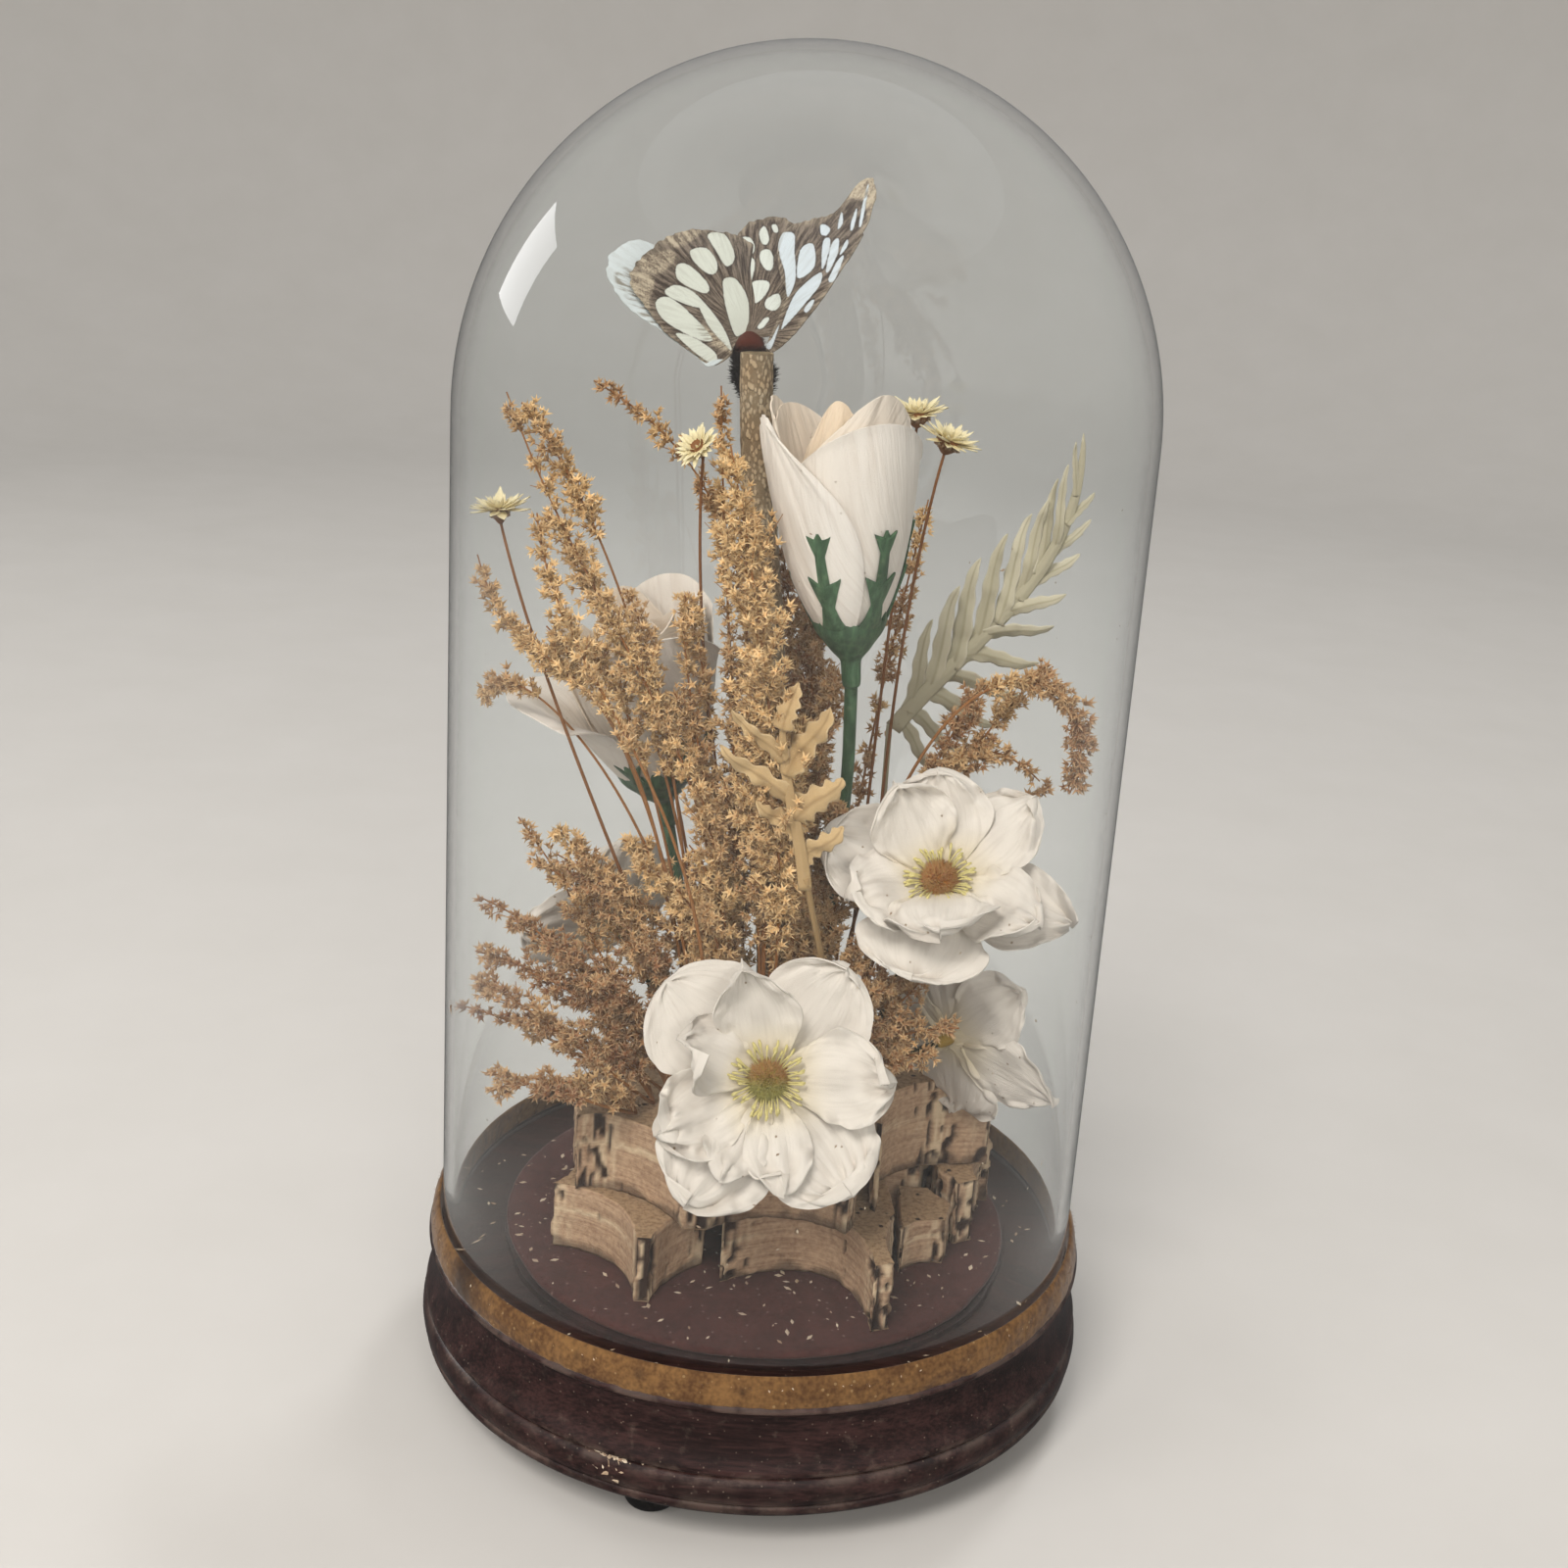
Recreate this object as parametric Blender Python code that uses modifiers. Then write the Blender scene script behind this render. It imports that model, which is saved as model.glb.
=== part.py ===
"""Butterfly and dried flowers under a glass dome, on a turned wooden base.

Metres, +Z up. The origin is on the table, on the axis of the dome.
The front of the display faces -Y. Sizes below are written in millimetres times MM.
"""
import math

import bmesh
import bpy
from mathutils import Matrix, Vector

MM = 0.001
GAP = 0.3 * MM                      # air left between pieces that touch

# turned pieces
TURN_STEPS = 30                     # base and dome
BUD_STEPS = 10                      # roses and feet
DOME_RADIUS = 85.0 * MM
DOME_WALL = 2.5 * MM
DOME_SHOULDER_Z = 257.8 * MM        # where the straight wall ends
DOME_CROWN_RISE = 87.9 * MM         # height of the rounded top above the shoulder
CHANNEL_FLOOR_Z = 39.5 * MM
CHANNEL_INNER_RADIUS = 68.5 * MM
CHANNEL_OUTER_RADIUS = 85.35 * MM
PLATEAU_Z = 42.0 * MM
BASE_BOTTOM_Z = 11.0 * MM
DISC_RADIUS = 68.0 * MM
DISC_TOP_Z = 44.0 * MM
FOOT_RADIUS = 7.6 * MM
FOOT_CIRCLE_RADIUS = 73.0 * MM
FOOT_ANGLES = (253, 13, 133)        # degrees

# cork offcuts
LOWER_CORK_BOTTOM = DISC_TOP_Z + GAP
LOWER_CORK_TOP = 62.5 * MM
UPPER_CORK_BOTTOM = LOWER_CORK_TOP + GAP
UPPER_LEFT_CORK_TOP = 84.0 * MM
UPPER_RIGHT_CORK_TOP = 88.0 * MM
STEM_FOOT_Z = 84.8                   # millimetres: stems end just above the cork

PETAL_THICKNESS = 0.8 * MM
STEM_RADIUS = 0.6 * MM
STALK_RADIUS = 0.9 * MM
SEPAL_TURN = 238.0                  # degrees: two sepals show at the front
LEAFLET_HALF_WIDTH = 1.5 * MM


# ---------------------------------------------------------------- set-up and helpers

def clear_scene():
    for obj in list(bpy.data.objects):
        bpy.data.objects.remove(obj, do_unlink=True)


def collection(name):
    made = bpy.data.collections.new(name)
    bpy.context.scene.collection.children.link(made)
    return made


def material(name, colour, roughness, transmission=0.0):
    made = bpy.data.materials.new(name)
    made.use_nodes = True
    shader = made.node_tree.nodes["Principled BSDF"]
    shader.inputs["Base Color"].default_value = (*colour, 1.0)
    shader.inputs["Roughness"].default_value = roughness
    shader.inputs["Metallic"].default_value = 0.0
    shader.inputs["Transmission Weight"].default_value = transmission
    return made


def add(name, data, finish, place=None):
    """Links one named sub-part, with its material, to the display's collection."""
    obj = bpy.data.objects.new(name, data)
    obj.matrix_world = place or Matrix.Identity(4)
    data.materials.append(finish)
    DISPLAY.objects.link(obj)
    return obj


def in_mm(points):
    return [Vector(point) * MM for point in points]


def facing(point, direction):
    """A frame at a point in millimetres: local +Z along the direction, local +X to the right."""
    z_axis = Vector(direction).normalized()
    x_axis = Vector((1, 0, 0))
    x_axis = (x_axis - z_axis * z_axis.dot(x_axis)).normalized()
    place = Matrix((x_axis, z_axis.cross(x_axis), z_axis)).transposed().to_4x4()
    place.translation = Vector(point) * MM
    return place


def turned(name, profile, finish, steps=TURN_STEPS, place=None, closed=False):
    """A profile of (radius, height) swept round the local Z axis by a Screw modifier.

    The profile runs down its outer side. It starts and ends on the axis, or is a closed loop.
    """
    mesh = bpy.data.meshes.new(name)
    edges = [(i, i + 1) for i in range(len(profile) - 1)]
    if closed:
        edges.append((len(profile) - 1, 0))
    mesh.from_pydata([(radius, 0.0, height) for radius, height in profile], edges, [])
    obj = add(name, mesh, finish, place)
    screw = obj.modifiers.new("Turn", "SCREW")
    screw.steps = screw.render_steps = steps
    screw.use_merge_vertices = True
    screw.merge_threshold = 0.00001
    return obj


def tube(name, points, radii, finish, resolution=1):
    """A stem or a tapered plume: a poly curve with a radius at each point, given in metres."""
    curve = bpy.data.curves.new(name, "CURVE")
    curve.dimensions = "3D"
    curve.bevel_depth = 1.0
    curve.bevel_resolution = resolution
    curve.use_fill_caps = True
    spline = curve.splines.new("POLY")
    spline.points.add(len(points) - 1)
    for node, point, radius in zip(spline.points, points, radii):
        node.co = (*point, 1.0)
        node.radius = radius
    return add(name, curve, finish)


def slab(name, outline, thickness, finish, place):
    """A flat outline in the local XY plane, made as thick as stated about that plane."""
    curve = bpy.data.curves.new(name, "CURVE")
    curve.dimensions = "2D"
    curve.fill_mode = "BOTH"
    curve.extrude = thickness / 2
    spline = curve.splines.new("POLY")
    spline.points.add(len(outline) - 1)
    spline.use_cyclic_u = True
    for node, (x, y) in zip(spline.points, outline):
        node.co = (x, y, 0.0, 1.0)
    return add(name, curve, finish, place)


def sheet(name, across, along, surface, thickness, finish, place=None):
    """A thin curved sheet: a grid whose points (u, v), each from 0 to 1, the surface places."""
    mesh = bpy.data.meshes.new(name)
    grid = bmesh.new()
    bmesh.ops.create_grid(grid, x_segments=across, y_segments=along, size=0.5)
    for vert in grid.verts:
        vert.co = surface(vert.co.x + 0.5, vert.co.y + 0.5)
    bmesh.ops.remove_doubles(grid, verts=grid.verts, dist=0.00002)
    grid.to_mesh(mesh)
    grid.free()
    obj = add(name, mesh, finish, place)
    wall = obj.modifiers.new("Wall", "SOLIDIFY")
    wall.thickness = thickness
    wall.offset = 0.0
    return obj


def as_mesh(obj):
    """Replaces a curve or a modified object by the plain mesh that it shows."""
    evaluated = obj.evaluated_get(bpy.context.evaluated_depsgraph_get())
    mesh = bpy.data.meshes.new_from_object(evaluated)
    welded = bmesh.new()
    welded.from_mesh(mesh)
    bmesh.ops.remove_doubles(welded, verts=welded.verts, dist=0.000001)
    welded.to_mesh(mesh)
    welded.free()
    name, place = obj.name, obj.matrix_world.copy()
    finish = obj.data.materials[0]
    bpy.data.objects.remove(obj, do_unlink=True)
    mesh.materials.clear()
    return add(name, mesh, finish, place)


def fuse(first, others):
    """Joins solids that grow from each other into the first one."""
    bpy.context.view_layer.update()
    first = as_mesh(first)
    others = [as_mesh(other) for other in others]
    for other in others:
        join = first.modifiers.new("Join", "BOOLEAN")
        join.operation = "UNION"
        join.object = other
    bpy.context.view_layer.update()
    fused = as_mesh(first)
    for other in others:
        bpy.data.objects.remove(other, do_unlink=True)
    return fused


def bezier(controls, t):
    """The point at t on the cubic curve of four control points."""
    a, b, c, d = controls
    s = 1.0 - t
    return a * s ** 3 + b * (3 * t * s * s) + c * (3 * t * t * s) + d * t ** 3


def smooth_path(controls, count):
    return [bezier(in_mm(controls), i / (count - 1)) for i in range(count)]


# ---------------------------------------------------------------- base and dome

def wooden_base():
    """The turned base: a plateau, the channel for the glass, a cove, a groove and a bead."""
    rim = [(87.6, 41.4), (88.0, 39.5), (86.0, 38.2), (86.0, 33.5), (88.0, 25.5), (89.3, 23.0),
           (89.3, 21.8), (88.6, 21.2), (90.0, 18.8), (90.3, 15.0), (88.5, 11.0)]
    profile = [(0.0, PLATEAU_Z), (CHANNEL_INNER_RADIUS, PLATEAU_Z),
               (CHANNEL_INNER_RADIUS, CHANNEL_FLOOR_Z), (CHANNEL_OUTER_RADIUS, CHANNEL_FLOOR_Z),
               (CHANNEL_OUTER_RADIUS, 41.4 * MM)]
    profile += [(radius * MM, height * MM) for radius, height in rim]
    profile.append((0.0, BASE_BOTTOM_Z))
    turned("wood_base", profile, WOOD)


def feet():
    top = BASE_BOTTOM_Z - GAP
    profile = [(0.0, top), (0.82 * FOOT_RADIUS, top), (0.96 * FOOT_RADIUS, 0.85 * top),
               (FOOT_RADIUS, 0.55 * top), (0.79 * FOOT_RADIUS, 0.0), (0.0, 0.0)]
    for number, degrees in enumerate(FOOT_ANGLES, start=1):
        turn = Matrix.Rotation(math.radians(degrees), 4, "Z")
        place = turn @ Matrix.Translation((FOOT_CIRCLE_RADIUS, 0.0, 0.0))
        turned(f"foot_{number}", profile, FOOT_FINISH, steps=BUD_STEPS, place=place)


def velvet_band():
    """The padded ring that hides the joint between the glass and the shoulder of the base."""
    inner, bottom, top = CHANNEL_OUTER_RADIUS, 41.7 * MM, 48.0 * MM
    profile = [(inner, bottom), (inner, top - 0.5 * MM), (86.1 * MM, top), (87.0 * MM, 46.4 * MM),
               (87.7 * MM, 43.6 * MM), (87.7 * MM, bottom)]
    turned("velvet_band", profile, VELVET_TAN, closed=True)


def velvet_disc():
    bottom = PLATEAU_Z + GAP
    profile = [(0.0, DISC_TOP_Z), (DISC_RADIUS - 0.6 * MM, DISC_TOP_Z),
               (DISC_RADIUS, DISC_TOP_Z - 0.6 * MM), (DISC_RADIUS, bottom), (0.0, bottom)]
    turned("velvet_disc", profile, VELVET_BROWN)


def crown(radius, rise, steps=7):
    """The quarter ellipse from the shoulder, at +X, up to the axis."""
    angles = [math.pi / 2 * i / steps for i in range(steps + 1)]
    return [(radius * math.cos(a), DOME_SHOULDER_Z + rise * math.sin(a)) for a in angles[:-1]] \
        + [(0.0, DOME_SHOULDER_Z + rise)]


def glass_dome():
    """The clear dome: a straight wall under a rounded top, open below."""
    foot = CHANNEL_FLOOR_Z + GAP
    inner_radius = DOME_RADIUS - DOME_WALL
    outside = list(reversed(crown(DOME_RADIUS, DOME_CROWN_RISE))) + [(DOME_RADIUS, foot)]
    inside = [(inner_radius, foot)] + crown(inner_radius, DOME_CROWN_RISE - DOME_WALL)
    turned("glass_dome", outside + inside, GLASS)


# ---------------------------------------------------------------- cork and twig

def hollowed(corners, steps=5):
    """An outline whose sides are arcs: each corner is (x, y, depth of the arc to the next)."""
    outline = []
    for (x0, y0, depth), (x1, y1, _) in zip(corners, corners[1:] + corners[:1]):
        start, end = Vector((x0, y0)), Vector((x1, y1))
        inward = Vector((y0 - y1, x1 - x0)).normalized()
        count = steps if depth else 1
        for i in range(count):
            t = i / count
            bulge = 4.0 * depth * t * (1.0 - t)
            outline.append((start.lerp(end, t) + inward * bulge) * MM)
    return outline


# corners run anticlockwise seen from above, in millimetres
CORK_PIECES = {
    "cork_front_left": (LOWER_CORK_BOTTOM, LOWER_CORK_TOP, [
        (-53, -27, 6.5), (-29, -51, 0), (-25, -51, 2), (-13, -32, 0), (-13, -9, 0),
        (-50, -8, 3)]),
    "cork_front_middle": (LOWER_CORK_BOTTOM, LOWER_CORK_TOP, [
        (-8, -40, 13), (30, -57, 0), (35, -55, 2), (36, -31, 0), (34, -8, 0), (-8, -9, 3)]),
    "cork_front_right": (LOWER_CORK_BOTTOM, 57.0 * MM, [
        (38, -30, 2), (50, -24, 0), (52, -15, 0), (46, -7, 0), (38, -7, 0)]),
    "cork_right_end": (LOWER_CORK_BOTTOM, LOWER_CORK_TOP, [
        (53.5, -14, 0), (59, -11, 2), (62, 6, 0), (48, 5, 0), (48, -5, 0)]),
    "cork_back": (LOWER_CORK_BOTTOM, LOWER_CORK_TOP, [
        (-48, -4, 0), (44, -4, 0), (45, 9, 0), (65, 10, 0), (63, 21, 8), (33, 46, 0),
        (27, 46, 10), (-16, 50, 0), (-22, 48, 9), (-53, 18, 0)]),
    "cork_upper_left": (UPPER_CORK_BOTTOM, UPPER_LEFT_CORK_TOP, [
        (-47, -30, 0), (-40, -28, 3), (-18, -46, 0), (-12, -46, 10), (22, -39, 0), (25, -35, 0),
        (27, 12, 6), (-6, 36, 0), (-12, 36, 7), (-44, 14, 0)]),
    "cork_upper_right": (UPPER_CORK_BOTTOM, UPPER_RIGHT_CORK_TOP, [
        (29, -31, 0), (31, -32, 7), (48, -5, 0), (62, -3, 0), (62, 9, 6), (36, 32, 0),
        (30, 31, 0)]),
}


def cork_offcuts():
    """Cork sheet left over from punching round stoppers, stacked in two layers."""
    for name, (bottom, top, corners) in CORK_PIECES.items():
        place = Matrix.Translation((0.0, 0.0, (bottom + top) / 2))
        slab(name, hollowed(corners), top - bottom, CORK, place)


def twig():
    """The cut twig that carries the butterfly, a little crooked and thicker at its foot."""
    points = in_mm([(2, 1, STEM_FOOT_Z), (1, 1, 110), (-1, 0, 139), (-3, -1, 168), (-5, -2, 197),
                    (-10, -2, 237), (-12, -2, 258), (-13, -2, 274.5)])
    radii = [4.6 * MM, 4.5 * MM, 4.4 * MM, 4.3 * MM, 4.2 * MM, 4.1 * MM, 4.1 * MM, 4.0 * MM]
    tube("twig", points, radii, TWIG_BARK)


# ---------------------------------------------------------------- butterfly

THORAX = (-15, 8, 278)
# each wing: the way it faces, the way its outline's x axis runs, its outline in millimetres
WINGS = {
    "forewing_left": ((0.40, -0.83, 0.39), (-0.843, -0.166, 0.512), [
        (0, 3), (5, 11), (14, 12), (21, 10), (29, 7), (33, 4), (33, 0), (31, -6), (28, -12),
        (20, -18), (15, -22), (4, -4)]),
    "hindwing_left": ((0.33, -0.80, 0.50), (-0.88, -0.069, 0.47), [
        (1, 3), (10, 13), (18, 12), (30, 10), (36, 7), (38, 4), (38, -1), (36, -6), (31, -8),
        (20, -3)]),
    "forewing_right": ((-0.55, -0.78, 0.30), (0.491, -0.011, 0.871), [
        (-1, 1), (-1, -6), (11, -12), (24, -13), (37, -11), (46, -7), (47, -4), (42, -2),
        (35, 0), (30, 5), (19, 5), (4, 2)]),
    "hindwing_right": ((0.0, -0.902, 0.431), (0.0, 0.431, 0.902), [
        (1, -4), (24, -10), (31, -8), (31, -4), (29, 2), (27, 4), (11, 5), (1, 2)]),
}


def wing(name, facing_way, x_way, outline):
    normal = Vector(facing_way).normalized()
    x_axis = Vector(x_way)
    x_axis = (x_axis - normal * x_axis.dot(normal)).normalized()
    y_axis = normal.cross(x_axis)
    place = Matrix((x_axis, y_axis, normal)).transposed().to_4x4()
    place.translation = Vector(THORAX) * MM
    return slab(name, [Vector(point) * MM for point in outline], 0.6 * MM, WING, place)


def butterfly():
    """The mounted butterfly, head down on the twig's cut end, its wings raised in a V."""
    spine = in_mm([(-14, 6, 266), (-14.5, 6.8, 271), THORAX, (-16, 12, 286), (-17, 17, 297),
                   (-17.5, 20, 304)])
    girths = [1.8 * MM, 3.9 * MM, 4.4 * MM, 2.9 * MM, 2.2 * MM, 0.9 * MM]
    body = tube("butterfly", spine, girths, WING, resolution=2)
    fuse(body, [wing(name, *shape) for name, shape in WINGS.items()])


# ---------------------------------------------------------------- roses

def bud_radius(height, bud_height, girth):
    """A bud swells quickly from its foot and stays wide up to its rim."""
    t = min(max(height / bud_height, 0.0), 1.0)
    return girth * (1.0 - (1.0 - t) ** 2.2) ** 0.45


def rose_petals(name, place, height, girth, petals):
    """A furled bud with the outer petals' tips standing off it, all one solid."""
    heights = [0.97, 0.7, 0.42, 0.2, 0.07]
    profile = [(0.0, height - 2 * MM), (0.35 * girth, height - 3 * MM),
               (0.85 * girth, height)]
    profile += [(bud_radius(t * height, height, girth), t * height) for t in heights]
    profile.append((0.0, 0.0))
    bud = turned(name, profile, ROSE, steps=BUD_STEPS, place=place)

    def petal(number, degrees, half_width, tip, flare):
        def surface(u, v):
            side = 2.0 * u - 1.0
            up = 0.12 * height + (tip - 0.12 * height) * v * (1.0 - 0.22 * side * side * v)
            angle = math.radians(degrees + side * half_width * (0.55 + 0.45 * math.sin(2.4 * v)))
            lift = v * v * (3.0 - 2.0 * v)
            radius = bud_radius(up, height, girth) - 1.2 * MM + 2.6 * MM * lift + flare * v ** 4
            return Vector((radius * math.cos(angle), radius * math.sin(angle), up))
        return sheet(f"{name}_{number}", 3, 3, surface, PETAL_THICKNESS, ROSE, place)

    fuse(bud, [petal(number, *shape) for number, shape in enumerate(petals)])


def rose_calyx(name, place, height, girth, stem, sepal_reach):
    """The green cup under a bud, its sepals with a side barb, its neck and its stem."""
    cup_heights = [1.5 * MM, 4.5 * MM]
    inside = [(0.0, -0.4 * MM)]
    inside += [(bud_radius(up, height, girth) + 0.5 * MM, up) for up in cup_heights]
    outside = [(bud_radius(up, height, girth) + 2.0 * MM, up) for up in reversed(cup_heights)]
    neck = [(4.0 * MM, -2.5 * MM), (3.4 * MM, -5.0 * MM), (3.1 * MM, -15.0 * MM),
            (0.0, -16.0 * MM)]
    cup = turned(name, inside + outside + neck, GREEN, steps=BUD_STEPS, place=place)

    def sepal(number):
        middle = math.radians(72.0 * number + SEPAL_TURN)

        def surface(u, v):
            up = (0.06 + sepal_reach * v) * height
            barb = 1.0 + 0.9 * math.exp(-((v - 0.6) / 0.15) ** 2)
            half_width = (3.2 * (1.0 - v) ** 1.3 + 0.7) * MM * barb
            radius = bud_radius(up, height, girth) + 2.0 * MM
            angle = middle + (2.0 * u - 1.0) * half_width / radius
            return Vector((radius * math.cos(angle), radius * math.sin(angle), up))
        return sheet(f"{name}_sepal_{number}", 1, 4, surface, PETAL_THICKNESS, GREEN, place)

    stem_path = [place @ Vector((0.0, 0.0, -12.0 * MM))] + in_mm(stem)
    stalk = tube(f"{name}_stalk", stem_path, [1.9 * MM] + [1.6 * MM] * len(stem), GREEN)
    fuse(cup, [sepal(number) for number in range(5)] + [stalk])


def roses():
    """Two fabric roses. Petals are (direction, half width, tip height, flare at the tip)."""
    high = facing((14, -20, 209), (-0.10, 0.0, 0.995))
    rose_petals("rose_high_petals", high, 52 * MM, 18.2 * MM, [
        (300, 66, 53 * MM, 0.8 * MM), (210, 60, 55 * MM, 2.5 * MM), (75, 58, 58 * MM, 0.5 * MM)])
    rose_calyx("rose_high_calyx", high, 52 * MM, 18.2 * MM, [
        (16, -13, 175), (15, -6, 145), (13, -4, STEM_FOOT_Z)], 0.41)
    low = facing((-32, 17, 157), (-0.22, -0.02, 0.97))
    rose_petals("rose_low_petals", low, 46 * MM, 20.5 * MM, [
        (185, 56, 37 * MM, 11 * MM), (290, 60, 46 * MM, 2.0 * MM), (65, 62, 53 * MM, 3.0 * MM)])
    rose_calyx("rose_low_calyx", low, 46 * MM, 20.5 * MM, [
        (-25, 14, 125), (-18, 11, STEM_FOOT_Z)], 0.28)


# ---------------------------------------------------------------- anemones

def petal_layer(name, place, radius, cup, lobes, turn, lift=0.0):
    """One die-cut fabric layer: a ring of joined lobes round a hole, cupped and ruffled."""
    hole = 2.6 * MM
    spokes = 6 * lobes

    def surface(u, v):
        angle = 2.0 * math.pi * v + math.radians(turn)
        lobe = abs(math.cos(0.5 * lobes * 2.0 * math.pi * v))
        reach = radius * (0.42 + 0.58 * lobe ** 0.42)
        out = hole + (reach - hole) * u
        rise = cup * (out / radius) ** 1.7
        ruffle = 0.05 * radius * u * u * math.sin(2 * lobes * math.pi * v + 3.0 * u)
        return Vector((out * math.cos(angle), out * math.sin(angle), lift + rise + ruffle))

    sheet(name, 2, spokes, surface, PETAL_THICKNESS, PETAL, place)


def flower_stem(name, place, back, centre_radius):
    """Stem, receptacle and stamen dome in one: a tube that swells as it leaves the petals."""
    path = [place @ Vector((0.0, 0.0, z * MM)) for z in (7.2, 5.9, 3.6, 3.3, -2.0, -4.5)]
    radii = [0.45 * centre_radius, 0.9 * centre_radius, centre_radius, 1.9 * MM, 1.9 * MM,
             1.3 * MM]
    path += in_mm(back)
    radii += [1.1 * MM] * len(back)
    tube(name, list(reversed(path)), list(reversed(radii)), FLOWER_STEM)


# name: place of the centre, the way it faces, layers (radius, cup, lobes, turn), the stem
ANEMONES = {
    "anemone_front": ((1, -49, 107), (0.0, -0.895, 0.446), [
        (33, 5.0, 4, 55), (28, 9.0, 4, 8)], [(3, -38, 98), (5, -31, 90), (6, -27, STEM_FOOT_Z)],
        6.5),
    "anemone_right": ((40, -27, 154), (-0.12, -0.72, 0.68), [
        (31.5, 7.0, 4, 75), (26, 11.0, 4, 30)],
        [(39, -20, 143), (33, -10, 120), (23, -9, STEM_FOOT_Z)], 5.5),
    "anemone_low_right": ((47, -16, 106), (0.78, 0.52, 0.12), [
        (22, 8.0, 4, 45)], [(38, -22, 100), (28, -21, 94), (22, -19, STEM_FOOT_Z)], 4.5),
    "anemone_back": ((-45, 27, 114), (-0.62, 0.62, 0.48), [
        (27, 8.0, 4, 20)], [(-34, 16, 104), (-30, 13, 96), (-28, 12, STEM_FOOT_Z)], 5.0),
}


def anemones():
    for name, (centre, way, layers, stem, stamens) in ANEMONES.items():
        place = facing(centre, way)
        for label, (radius, cup, lobes, turn), lift in zip(("outer", "inner"), layers, (0, 1.3)):
            petal_layer(f"{name}_{label}_petals", place, radius * MM, cup * MM, lobes, turn,
                        lift * MM)
        flower_stem(f"{name}_stem", place, stem, stamens * MM)


# ---------------------------------------------------------------- dried plants

# name: foot on the cork, two guides, centre of the head, the way it faces
DAISIES = {
    "daisy_left": ((-20, 4, STEM_FOOT_Z), (-30, -20, 130), (-58, -26, 190), (-73, -6, 231),
                   (-0.1, 0.0, 1.0)),
    "daisy_right_high": ((20, 10, STEM_FOOT_Z), (22, 17, 130), (24, 16, 200), (28, 20, 257),
                         (-0.2, -0.5, 0.8)),
    "daisy_right_low": ((24, 8, STEM_FOOT_Z), (27, 12, 130), (24, 12, 200), (35, 12, 252),
                        (0.4, -0.3, 0.85)),
    "daisy_top": ((-4, 14, STEM_FOOT_Z), (-14, 12, 130), (-26, -4, 210), (-24, -9, 251),
                  (-0.5, -0.6, 0.6)),
}


def daisies():
    """Small dried daisies: a wiry stem that opens into a flat flared head."""
    for name, (foot, guide_low, guide_high, head, way) in DAISIES.items():
        stem = smooth_path([foot, guide_low, guide_high, head], 7)
        out = Vector(way).normalized() * MM
        path = stem + [stem[-1] + out * 1.5, stem[-1] + out * 3.2, stem[-1] + out * 4.6]
        radii = [STEM_RADIUS] * 6 + [1.4 * MM, 2.8 * MM, 6.2 * MM, 3.0 * MM]
        tube(name, path, radii, DAISY)


# name: foot on the cork, two guides, tip, girth of the plume, part of the stem that is bare
GRASSES = {
    "grass_centre": ((-1, -20), (17, -32, 133), (-13, -37, 187), (-16, -25, 254), 7.5, 0.25),
    "grass_upper_left": ((-14, -9), (-8, -20, 184), (-39, -24, 190), (-72, -6, 262), 6.0, 0.4),
    "grass_left": ((-18, -12), (-34, -35, 235), (-63, -21, 181), (-77, -14, 224), 5.0, 0.35),
    "grass_left_inner": ((-15, -22), (-10, -60, 187), (-55, -34, 195), (-62, -19, 236), 3.0, 0.5),
    "grass_far_left": ((-22, -6), (-11, -22, 145), (-69, -10, 213), (-77, -6, 184), 4.0, 0.45),
    "grass_top_left": ((-9, 9), (-18, 2, 156), (11, 14, 232), (-53, 10, 264), 4.0, 0.5),
    "grass_top_spike": ((-6, -5), (-7, -6, 146), (-17, -10, 206), (-21, 0, 266), 2.5, 0.6),
    "grass_back_brown": ((7, 10), (-2, 12, 126), (8, 8, 175), (4, 10, 216), 6.5, 0.3),
    "grass_middle_left": ((-10, -1), (-4, -10, 129), (-22, -9, 162), (-27, -11, 211), 5.5, 0.35),
    "grass_right_thin": ((18, 15), (16, 22, 136), (25, 30, 189), (33, 28, 237), 3.5, 0.4),
    "grass_right_arch": ((16, -2), (24, -7, 237), (84, -13, 207), (72, -10, 172), 5.0, 0.45),
    "grass_right_low": ((22, 4), (27, 1, 129), (33, 2, 201), (66, 2, 171), 4.0, 0.5),
    "grass_lower_left_top": ((-20, -10), (-40, -19, 96), (-33, -15, 116), (-67, -6, 155), 5.5, 0.2),
    "grass_lower_left_mid": ((-24, -17), (-43, -32, 104), (-41, -26, 128), (-74, -20, 138), 4.5, 0.3),
    "grass_lower_left_out": ((-28, -22), (-32, -42, 97), (-66, -36, 124), (-72, -31, 119), 4.5, 0.3),
    "grass_lower_left_low": ((-32, -28), (-39, -52, 97), (-62, -44, 105), (-65, -40, 94), 4.0, 0.3),
    "grass_low_centre": ((-8, -16), (-12, -22, 108), (-5, -24, 136), (-22, -24, 157), 5.5, 0.2),
    "grass_low_right": ((14, -16), (15, -25, 100), (27, -29, 112), (38, -24, 125), 5.0, 0.25),
    "grass_low_middle": ((8, -12), (7, -22, 113), (6, -15, 137), (6, -10, 163), 5.5, 0.25),
}


def plume_radius(t, girth, bare):
    """Bare stem first, then a plume that swells and runs out to the tip."""
    if t <= bare:
        return STEM_RADIUS
    s = (t - bare) / (1.0 - bare)
    return STEM_RADIUS + (girth * MM - STEM_RADIUS) * math.sin(math.pi * s ** 0.75) ** 0.7


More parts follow.
